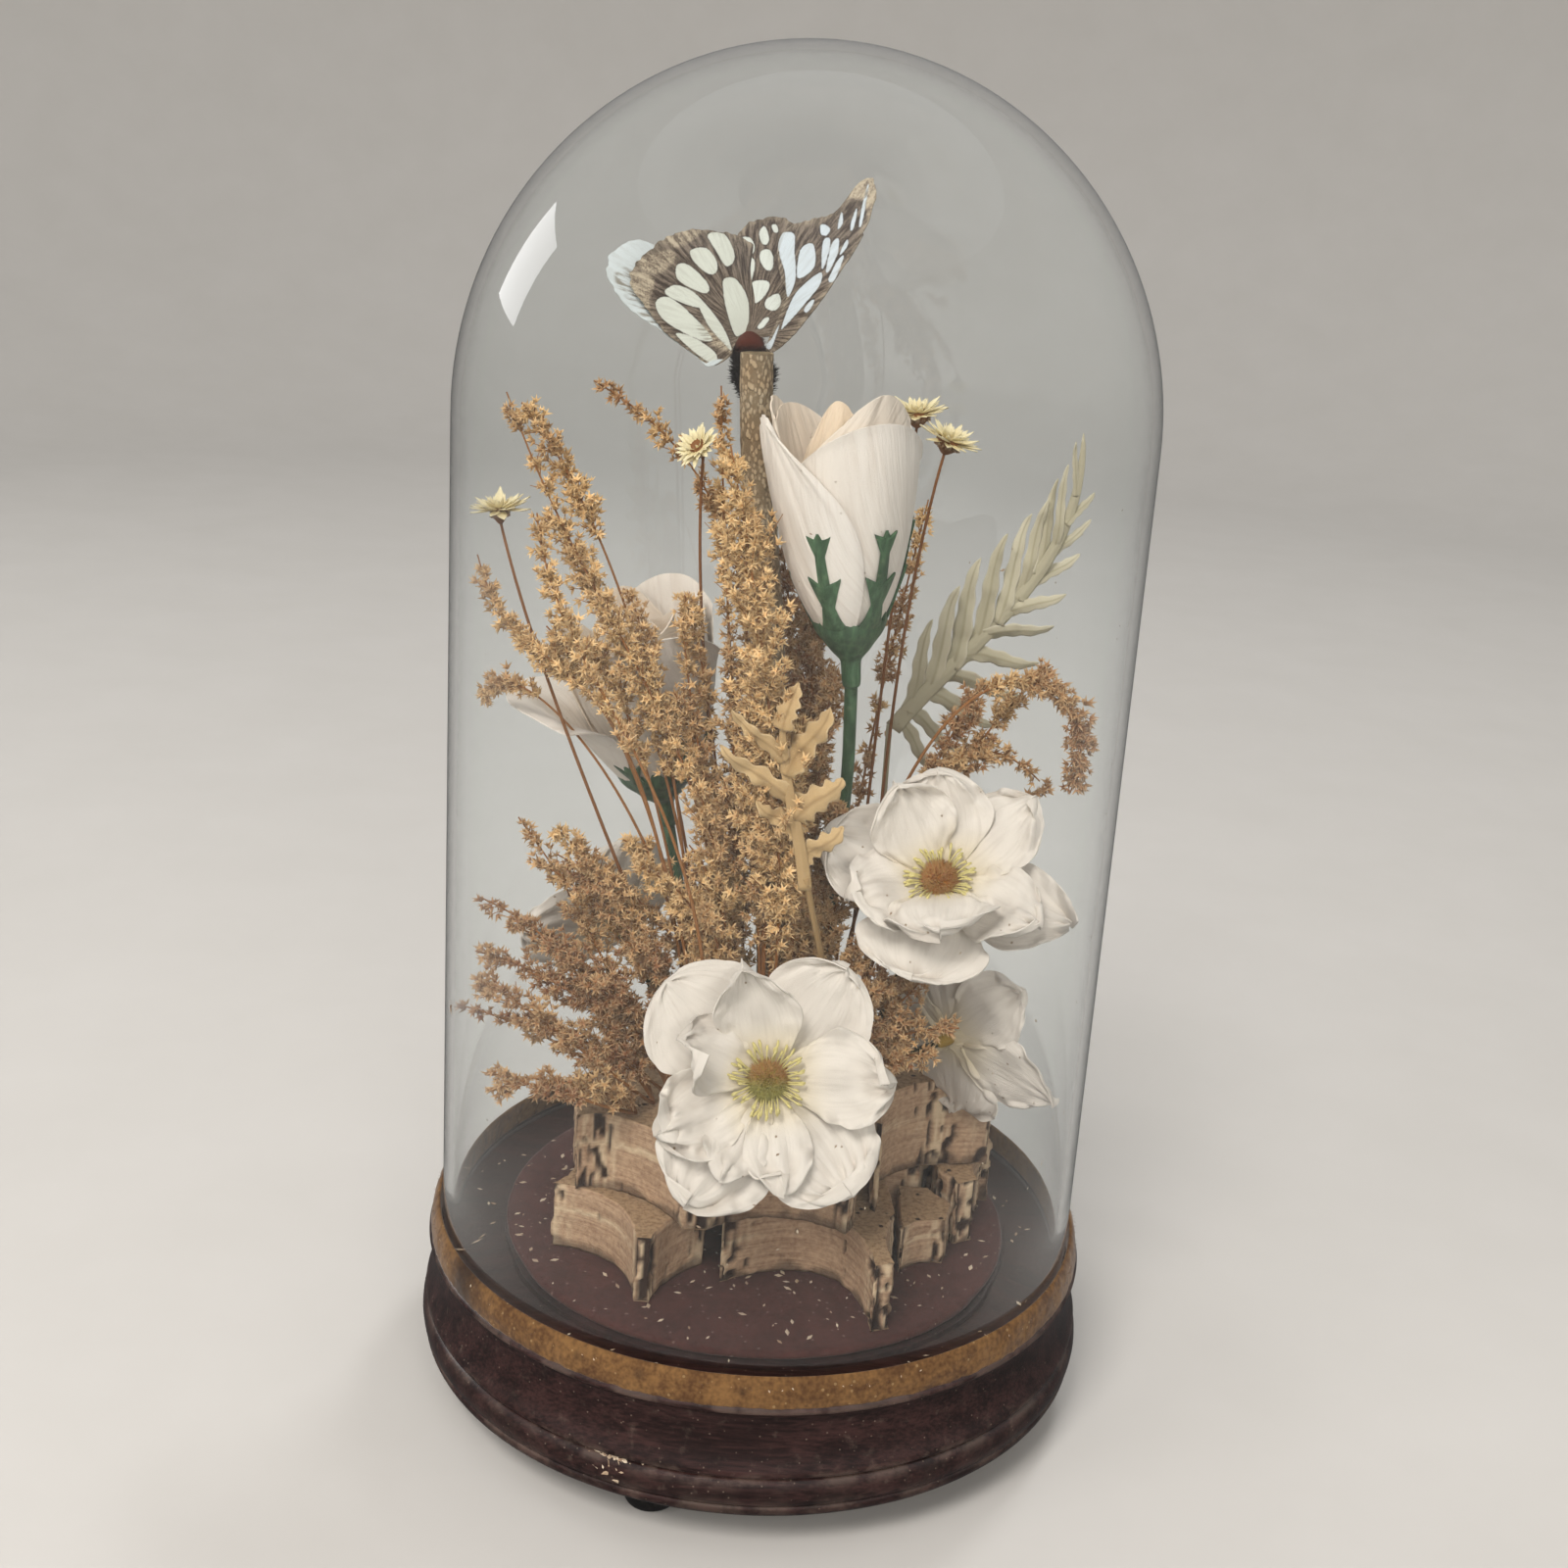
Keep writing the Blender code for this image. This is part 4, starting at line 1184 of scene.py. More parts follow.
@dataclass
class CorkStack:
    """Cork offcuts left from punching round stoppers, in two layers."""

    slabs: tuple[CorkSlab, ...] = (
        CorkSlab("cork_front_left", 44.3, 62.5, (
            (-53, -27, 6.5), (-29, -51, 0), (-25, -51, 2), (-13, -32, 0), (-13, -9, 0),
            (-50, -8, 3)), 11, 0.3),
        CorkSlab("cork_front_middle", 44.3, 62.5, (
            (-8, -40, 16.5), (30, -57, 0), (35, -55, 2), (36, -31, 0), (34, -8, 0),
            (-8, -9, 3)), 23, 1.0),
        CorkSlab("cork_front_right", 44.3, 57.0, (
            (38, -30, 2), (50, -24, 0), (52, -15, 0), (46, -7, 0), (38, -7, 0)), 31),
        CorkSlab("cork_right_end", 44.3, 62.5, (
            (53.5, -14, 0), (59, -11, 2), (62, 6, 0), (48, 5, 0), (48, -5, 0)), 47),
        CorkSlab("cork_back", 44.3, 62.5, (
            (-48, -4, 0), (44, -4, 0), (45, 9, 0), (65, 10, 0), (63, 21, 8), (33, 46, 0),
            (27, 46, 10), (-16, 50, 0), (-22, 48, 9), (-53, 18, 0)), 53),
        CorkSlab("cork_upper_left", 62.8, 84.0, (
            (-47, -30, 0), (-40, -28, 3), (-18, -46, 0), (-12, -46, 7), (23, -44, 0),
            (25, -40, 0), (27, 12, 6), (-6, 36, 0), (-12, 36, 7), (-44, 14, 0)), 61),
        CorkSlab("cork_upper_right", 62.8, 88.0, (
            (29, -31, 0), (31, -32, 7), (48, -5, 0), (62, -3, 0), (62, 9, 6), (36, 32, 0),
            (30, 31, 0)), 73))

    def build(self) -> None:
        """Makes every offcut."""
        finish = PunchedCork().mixed()
        for slab in self.slabs:
            show(slab.node.replace("cork", "offcut"), slab.build(), finish, (slab.node,))


@dataclass
class Twig:
    """The cut twig that carries the butterfly."""

    line: tuple[Point, ...] = ((2, 1, CORK_TOP), (1, 1, 110), (-1, 0, 139), (-3, -1, 168),
                               (-5, -2, 197), (-10, -2, 237), (-12, -2, 258), (-13, -2, 274.5))
    girths: tuple[float, ...] = (4.6, 4.5, 4.4, 4.3, 4.2, 4.1, 4.1, 4.0)
    chamfers: tuple[float, float] = (3.9, 3.4)
    steps: int = 420
    sides: int = 56
    softening: int = 20

    def build(self) -> None:
        """A tube along the line, its bark lumpy and its cut end flat."""
        knots = np.array(self.line, float)
        height = np.linspace(knots[0, 2], knots[-1, 2], self.steps)
        path = between(height, knots[:, 2], knots)
        window = np.ones(2 * self.softening + 1) / (2 * self.softening + 1.0)
        for column in path[:, :2].T:
            column[:] = np.convolve(np.pad(column, self.softening, "edge"), window, "valid")
        path = np.vstack([path[:1], path, path[-1:]])
        path[[0, -1], 2] += 0.01
        foot, end = self.chamfers
        radii = np.concatenate([[foot], np.interp(height, knots[:, 2], self.girths), [end]])
        shape = tubes(path, radii, self.sides)
        points = shape.points
        centre = between(points[:, 2], path[:, 2], path[:, :2])
        out = points[:, :2] - centre
        lump = 0.05 * hills(points, [5.0, 5.0, 9.0], 7)
        lump = lump + 0.035 * hills(points, [1.1, 1.1, 1.8], 8)
        points[:, :2] = centre + out * (0.985 + lump)[:, None]
        cut = points[:, 2] > knots[-1, 2] - 0.1
        shape.tone[cut, 0] = smoothly(np.hypot(*out[cut].T), foot, end)
        show("twig_bark", shape, NettedBark().mixed(), ("twig",), crease=60)


# ---------------------------------------------------------------- butterfly

@dataclass
class Wing:
    """One wing: how it lies, its outline and the pale cells between its veins."""

    faces: Point
    x_way: Point
    middle: tuple[float, float]
    outline: Outline
    cells: tuple[Outline, ...]
    painted_sheen: float = 0.0
    pale: float = 0.0
    dusty: tuple[Outline, ...] = ()
    seed: int = 1
    rings: int = 46
    thickness: float = 0.3

    def blade(self, root: Point) -> Shape:
        """A thin blade of rings between the middle and the outline.

        A ring's point is the middle + s (rim - middle). The blade falls away from its
        middle by 1.1 (d / 24)^2 at the distance d from it, and is wavy by value noise.

        Args:
            root: where the wing's own origin lies.

        Returns:
            The closed blade.
        """
        rim = looped(self.outline, 16)
        rim = rim * (1.0 + 0.012 * hills(together(*rim.T, 0), 1.1, self.seed)[:, None])
        rings, columns = self.rings, len(rim)
        middle = np.array(self.middle, float)
        share = np.linspace(1.0, 0.0, rings)[:-1, None, None] ** 0.8
        plane = np.vstack([(middle + share * (rim - middle)).reshape(-1, 2), middle])
        away = np.hypot(*(plane - middle).T)
        wavy = 0.35 * hills(together(*plane.T, 0), 7.0, self.seed + 1)
        points = together(*plane.T, 1.1 * (1.0 - (away / 24.0) ** 2) + wavy - 1.1)
        (j, k), last, size = around(columns), (rings - 2) * columns, len(plane)
        hub = together(last + j, last + k, size - 1)
        # A pale share of 1, as on the second wing, fills the whole wing with cell colour: painted
        # light showing through the thin wing.
        cell = self.depth(plane, self.cells, -9.0 + 18.0 * self.pale)
        dust = self.depth(plane, self.dusty, -9.0)
        edge = smoothly(-inside(plane, rim), -1.6, -0.2) * 0.35 * (1.0 - self.pale)
        # The second tone is a painted sheen: a bluish tint where the wing catches light at another
        # angle.
        tone = together(np.clip(0.5 + cell / 4.0, 0, 1), self.painted_sheen,
                        np.clip(smoothly(dust, -0.6, 0.4) + edge, 0, 1))
        normal = unit(np.array(self.faces, float))
        across = np.array(self.x_way, float)
        across = unit(across - normal * normal.dot(across))
        wrap = together(np.arctan2(plane[:, 1], plane[:, 0]) * 15.0, np.hypot(*plane.T), 0.0)
        blade = walled(points[None], np.broadcast_to([0.0, 0.0, 1.0], points.shape)[None],
                       quads(rings - 1, columns, True), j, self.thickness, tone[None],
                       wrap[None])
        blade.faces.append(np.concatenate([hub, hub[:, ::-1] + size]))
        return blade.outward().placed(root, np.array([across, np.cross(normal, across), normal]))

    def depth(self, plane: Array, patches: tuple[Outline, ...], least: float) -> Array:
        """How deep points of the wing's plane lie in any of the patches, or the least."""
        depths = [inside(plane, looped(patch, 5)) for patch in patches]
        return np.max([*depths, np.full(len(plane), least)], axis=0)


@dataclass
class Butterfly:
    """The mounted butterfly, head down behind the twig's cut end, its wings in a V."""

    root: Point = (-15, 8, 278)
    spine: tuple[Point, ...] = ((-12.6, 4.5, 263), (-13.4, 4.5, 268), (-14.8, 4.5, 273.2),
                                (-15.5, 16, 278), (-17, 25, 290), (-17.5, 28, 297))
    girths: tuple[float, ...] = (2.0, 4.2, 4.2, 2.6, 2.0, 0.8)
    hairs: int = 5200
    wings: tuple[Wing, ...] = (
        Wing((0.40, -0.83, 0.39), (-0.843, -0.166, 0.512), (15, -3), (
            (4.6, 12.6), (11, 12.8), (18.4, 12.2), (22.5, 10.7), (26.4, 9.2), (30.3, 7.3),
            (32.1, 4.5), (32.2, 1.9), (30.7, -3.9), (28.7, -8.7), (24.8, -13.8), (19.9, -17),
            (14.2, -20.2), (8.9, -20.2), (5.4, -17.3), (1.3, -11.9), (-0.3, -4.9), (0.3, 0.3),
            (2, 4.9), (1.7, 8)), (
            ((11.9, -7.8), (9.2, -9.7), (4.4, -7), (1.2, -1.1), (1.8, 1.4), (3.3, 2.4), (8, -1.7),
             (10.7, -5.3)),
            ((23.2, -4.5), (20.6, -5.7), (15.5, -4.6), (13.9, -3), (15.2, -1.6), (20.7, -0.9),
             (22.8, -2.1)),
            ((22.2, -9.3), (19.3, -12), (15.6, -10.6), (14.5, -8.4), (15.9, -6.7), (20.2, -7.4)),
            ((20.4, -15.4), (17.1, -18.1), (14, -16.5), (12, -13.9), (12.9, -11.2),
             (16.4, -12.8)),
            ((23, 3.4), (21.3, 0.5), (16.6, -0.4), (13.6, 1.5), (16.1, 2.9), (20.8, 3.9)),
            ((23.6, 7.2), (21.3, 4.2), (13.8, 5), (7.5, 7), (11.6, 9.2), (19.7, 9.8)),
            ((15.8, 11.1), (11.5, 9.4), (5.6, 9.4), (4.1, 11), (4.8, 12.2), (10, 12.3)),
            ((16.5, -0.2), (10.4, 1.3), (5.2, 3.7), (2.2, 6.4), (3.9, 6.2), (10.1, 4.4))),
            0.0, 0.0, (
            ((32.5, 5), (31.1, 3.8), (28.8, 2.2), (26.4, 3.1), (25.5, 7.2), (24, 11), (30, 8)),
            ((31.5, 0), (30.4, -2.1), (26.7, -6.1), (24.7, -4.8), (26.5, 0.6), (31, 2)),
            ((29, -8), (25.5, -8), (22.5, -14), (24, -16), (27, -12)),
            ((13, 6), (7.7, 5.4), (2.5, 6.5), (3.3, 7.6), (9.1, 7.9))), 3),
        Wing((0.33, -0.80, 0.50), (-0.88, -0.069, 0.47), (22, 4), (
            (2, 4), (4.5, 12.9), (9.6, 12.9), (17.9, 12.3), (24.4, 11.9), (29.8, 10.8),
            (34.4, 8.4), (37.2, 5.5), (38.2, 1.3), (36.6, -3), (35.1, -5.1), (32.1, -6.6),
            (28, -6.5), (20, -3), (10, 0)), (
            ((30, 9), (34, 6), (36, 1.5), (33.6, -4.2), (24, -2), (10, 2), (8, 9), (18, 10.5)),),
            0.7, 1.0, (((20, 12), (31, 9), (35, 5), (30, 0), (24, 4)),), 5),
        Wing((-0.55, -0.78, 0.30), (0.491, -0.011, 0.871), (22, -5), (
            (-0.5, -5.8), (-0.4, -8.2), (6.3, -11), (15.4, -12.5), (24.1, -12.6), (31.5, -12.8),
            (38, -11.3), (43.5, -9.1), (45.7, -6.4), (45.7, -4.1), (43.2, -2.9), (38.8, -2.6),
            (34.8, -1.9), (32.1, 0.8), (28.7, 4.7), (24.5, 7.8), (20.2, 6.7), (15.8, 2.1),
            (12.5, -3.2), (5.8, -4.7)), (
            ((22.4, 8.2), (24.3, 7.2), (25, 4.6), (21.6, 1.7), (16.7, -2.9), (12.5, -3.7),
             (16.6, 0.7), (19.2, 5)),
            ((22.9, 0.6), (25.8, -1.2), (24.1, -3.9), (21.3, -5.4), (17.5, -3.2)),
            ((27.8, -3.7), (29.1, -5), (25.9, -6.9), (22.6, -7.7)),
            ((28.6, -6.3), (30.3, -7.1), (27.1, -9.2), (23.1, -9.7), (23.2, -8.8)),
            ((6.4, -6.8), (13.1, -5.3), (18, -6.2), (21.6, -8.1), (18.7, -9.7), (12, -8.8),
             (6.1, -7.4)),
            ((12.6, -9.9), (15.4, -10.4), (14.9, -11.2), (12.3, -11)),
            ((21.6, -11), (26.6, -10.4), (27.6, -11.2), (22.2, -12.5)),
            ((28, -9.7), (31.4, -9.2), (30.2, -10.3), (27.9, -10.1)),
            ((34.8, -7.6), (38.5, -6.5), (35.8, -8.3), (33.7, -8.9)),
            ((36.4, -9.4), (44, -5.5), (43.3, -6.4), (36.3, -10.3)),
            ((32.7, -4.9), (35.7, -3.6), (34.1, -5.3), (32.4, -5.5)),
            ((30.4, -0.6), (31.2, -1.6), (31, -3.4), (29.5, -3.5), (29, -2)),
            ((-0.1, -5.5), (2.2, -6.1), (5.9, -5.9), (1.5, -7.1), (-0.1, -7.1))),
            1.0, 0.0, (((38, -12), (47, -8), (47, -3), (40, -3), (41, -7)),), 7),
        Wing((0.0, -0.902, 0.431), (0.0, 0.431, 0.902), (15, -2.5), (
            (-0.3, 3.7), (7.1, 3.1), (15, 4.4), (23, 5.2), (27.8, 2.8), (29.5, -0.9),
            (30.4, -4.7), (29.1, -8.1), (26.4, -11.1), (16, -9.5), (7.8, -7.8), (0.4, -6.7)), (
            ((23.6, 5), (24.4, 2), (22.2, 0.5), (20.1, 0.9), (20, 2.8), (21.6, 4.6)),
            ((20.6, -1.2), (21.5, -2.8), (19.9, -4.2), (16.7, -4.2), (16.4, -2.9), (18.3, -1.4)),
            ((18.5, 4.1), (19.8, 2.3), (18.2, 0.2), (14.1, 0.5), (10.9, 1.7), (13.4, 3.2)),
            ((13, 0.2), (13.3, -3.4), (11, -3.5), (8, -1.2), (9, 0)),
            ((8.7, -3.4), (10.3, -6), (8.3, -6.9), (6.3, -5.7), (6.7, -3.5)),
            ((1.7, -1.7), (4.1, -3.4), (3.9, -4.3), (1.5, -2.8)),
            ((25.7, -0.6), (27.5, -1.6), (24.7, -2.9), (22.9, -2.5), (23.2, -1.4)),
            ((27.9, -3.5), (28, -4.6), (26.3, -5), (26.4, -4))), 0.2, 0.0, (), 9))

    def body(self) -> Shape:
        """The body: a tube along the spine, and hair that stands off it and lies backwards.

        The first tone is the share of rust, which makes a collar on the side of the display.
        """
        spine, knots = np.array(self.spine, float), np.linspace(0, 1, len(self.spine))
        t = np.linspace(0, 1, 60)
        path, girth = between(t, knots, spine), np.interp(t, knots, self.girths)
        rng, count = np.random.default_rng(12), self.hairs
        at, turn = rng.random(count) ** 1.5, rng.uniform(0, TAU, count)
        along = unit(spine[-1] - spine[0])
        out = spun(np.broadcast_to(along, (count, 3)), turn)[:, 0]
        root = between(at, t, path) + out * np.interp(at, t, girth)[:, None] * 0.95
        way = out + along * rng.uniform(0.2, 1.2, (count, 1)) + rng.normal(0, 0.25, (count, 3))
        size = rng.uniform(0.8, 2.6, count) * np.interp(at, [0, 0.2, 0.4, 1], [1.3, 1.3, 0.5, 0.4])
        hair = spike(0.09).repeated(root, spun(way, turn), size, np.zeros_like(root))
        hair.tone[:, 1] = hair.tone[:, 2]
        both = Shape.joined([tubes(path, girth, 24), hair])
        high = both.points[:, 2]
        both.tone[:, 0] = smoothly(high, 274.8, 276.4) * smoothly(high, 283.0, 279.0)
        return both

    def build(self) -> None:
        """Makes the wings and the body."""
        wings = Shape.joined([wing.blade(self.root) for wing in self.wings])
        show("butterfly_wings", wings, WingScales().mixed(), ("butterfly",), crease=60)
        show("butterfly_body", self.body(), InsectFur().mixed(), ("butterfly",))


# ---------------------------------------------------------------- flowers

@dataclass
class RosePetal:
    """One petal: the way it faces in degrees, its half width, its tip, how the tip stands off."""

    direction: float
    half_width: float
    tip: float
    flare: float = 0.0
    point: float = 0.0
    lean: float = 0.0
    inset: float = 0.0
    curl: float = 0.0


@dataclass
class Rose:
    """A fabric rose: furled petals round a bud, in a moulded cup with barbed sepals.

    A row of the sepal's table is (share of its length, height there, half width there).
    """

    name: str
    foot: Point
    way: Point
    height: float
    girth: float
    petals: tuple[RosePetal, ...]
    stem: tuple[Point, ...]
    reach: float
    sepals: tuple[float, ...] = (245.0, 304.0, 16.0, 94.0, 172.0)
    sepal: tuple[Point, ...] = (
        (0.0, 0.0, 4.2), (0.2, 0.16, 2.4), (0.36, 0.3, 1.5), (0.46, 0.5, 4.4), (0.52, 0.505, 1.4),
        (0.78, 0.8, 1.15), (0.86, 0.93, 3.2), (0.9, 0.935, 1.1), (1.0, 1.0, 0.05))
    grid: tuple[int, int] = (48, 52)
    cloth: float = 0.4

    def bud(self, up: Array) -> Array:
        """The bud's radius at a height: girth (1 - (1 - h / H)^1.9)^0.52."""
        t = np.clip(up / self.height, 0.0, 1.0)
        return self.girth * (1.0 - (1.0 - t) ** 1.9) ** 0.52

    def petal(self, cut: RosePetal, seed: int) -> Shape:
        """A petal that hugs the bud.

        Its angle is direction + lean v^2 + u half width, its height runs to the tip and sags
        to the sides as u^2, and its radius is the bud's, plus a flare as v^4 and edges that
        curl out.

        Args:
            cut: its sizes.
            seed: picks its unevenness.

        Returns:
            The closed sheet.
        """
        v, u = lattice(*self.grid)
        spread = 0.64 + 0.36 * np.sin(2.3 * v)
        spread = spread * np.maximum(1.0 - cut.point * v ** 2.6, 0.0) ** 0.95
        low = 0.03 * self.height
        up = low + (cut.tip - low) * v * (1.0 - (0.2 - 0.17 * cut.point) * u * u * v * v)
        angle = np.radians(cut.direction + cut.lean * v * v + u * cut.half_width * spread)
        at = together(u * 9, v * 9, 0.0)
        wave, fine = hills(at, 2.4, seed), hills(at, [0.9, 4.0, 1.0], seed + 40)
        radius = self.bud(up) - 0.3 + 0.5 * v + cut.flare * v ** 4 - cut.inset
        radius = radius + cut.curl * smoothly(np.abs(u), 0.7, 1.0) * v + 0.5 * wave * v
        radius = radius + 0.35 * smoothly(v, 0.95, 1.0) * (1.0 - cut.point) + 0.14 * fine
        # The rise towards the flower's left paints that side warmer and darker, as painted shade.
        # The inset term is the inner petals' own warmer colour.
        warmth_and_left_shade = 0.15 + 0.22 * cut.inset + 0.3 * smoothly(-np.cos(angle), -0.3, 1.0) - 0.1 * v
        # Painted shade: darker at the petal's foot down in the cup and in the dips of its fine
        # unevenness.
        shade = 0.35 * smoothly(v, 0.2, 0.0) + 0.12 * smoothly(-fine, 0.1, 0.9)
        tone = together(np.clip(warmth_and_left_shade, 0, 1), shade, 0)
        return sheets(polar(radius, angle, up), self.cloth, tone)

    def heart(self) -> Shape:
        """The closed bud inside, and the spiral of cloth that shows in its mouth."""
        up = self.height * np.array([0.84, 0.8, 0.6, 0.4, 0.2, 0.1, 0.04])
        radius = self.bud(up) * 0.7
        core = turned(np.vstack([[(0.0, up[0]), (radius[0] * 0.9, up[0])],
                                 together(radius, up)[1:], [(0.0, 0.8)]]), 40)
        v, u = lattice(12, 200, left=0.0)
        angle = u * 2.3 * TAU
        wide = self.girth * (0.1 + 0.5 * u + 0.03 * v)
        top = self.height * (0.94 + 0.04 * np.sin(2.6 * angle) + 0.05 * u)
        level = self.height * 0.8 + (top - self.height * 0.8) * v
        # The second tone paints shade deep in the bud, on the core and at the foot of the spiral.
        spiral = sheets(polar(wide, angle, level), self.cloth,
                        together(0.95 - 0.4 * v, 0.5 - 0.5 * v, 0))
        return Shape.joined([core.toned((0.9, 0.4, 0.0)), spiral])

    def calyx(self, axes: Array) -> Shape:
        """The cup with its jagged edge, its neck, five sepals with barbs, and the stem.

        A sepal's barbs, where it is wide, stand up by their width times u^1.5.
        """
        low, mid, high = self.bud(np.array([1.0, 3.6, 6.4]))
        cup = turned(rounded([
            (0.0, -0.4), (low + 0.3, 1.0), (mid + 0.3, 3.6), (high + 0.5, 6.4), (high + 1.5, 6.6),
            (mid + 2.3, 3.6), (low + 2.9, 0.9), (low + 1.7, -0.9), (3.4, -2.3), (2.5, -3.4),
            (2.4, -5.0), (2.3, -9.6), (1.7, -10.3), (0.0, -10.6)], 2), 96).toned((0, 0, 0))
        turn = np.arctan2(cup.points[:, 1], cup.points[:, 0])
        rim = smoothly(cup.points[:, 2], 4.8, 6.4)
        cup.points[:, 2] += rim * 2.2 * np.abs(np.sin(turn * 7.5 + 0.4)) ** 1.5
        v, u = lattice(72, 9)
        key, heights, widths = np.array(self.sepal).T
        half = np.interp(v, key, widths)
        up = (0.08 + self.reach * np.interp(v, key, heights)) * self.height
        up = up + 0.85 * np.maximum(half - 1.5, 0.0) * np.abs(u) ** 1.5 * (v > 0.3)
        radius = self.bud(up) + 1.2 - 0.3 * u * u
        angle = np.radians(self.sepals)[:, None, None] + u * half / radius
        head = Shape.joined([cup, sheets(polar(radius, angle, up), 0.55, (0.0, 0.0, 0.0))])
        start = np.array(self.foot) + axes[2] * -9.0
        stalk = tubes(flowing(np.vstack([start, *self.stem]), 60), np.linspace(1.6, 1.45, 60), 16)
        return Shape.joined([head.placed(self.foot, axes), stalk])

    def build(self, cloth: bpy.types.Material, green: bpy.types.Material) -> None:
        """Makes the flower and its green parts."""
        axes = facing(self.way)
        parts = [self.petal(cut, number) for number, cut in enumerate(self.petals)]
        flower = Shape.joined([self.heart(), *parts]).placed(self.foot, axes)
        show(f"{self.name}_cloth", flower, cloth, (f"{self.name}_petals",), crease=60)
        show(f"{self.name}_green", self.calyx(axes), green, (f"{self.name}_calyx",),
             crease=60)


@dataclass
class ClothPetal:
    """One petal of an anemone: turn, length, half width, slope at its root and extra slope
    at its tip in degrees, and its cut."""

    turn: float
    length: float
    width: float
    slope: float
    bend: float
    point: float = 0.0
    pleats: float = 0.0
    ruffle: float = 0.8
    roll: float = 0.0
    notch: float = 0.0
    twist: float = 0.0
    lean: float = 0.0


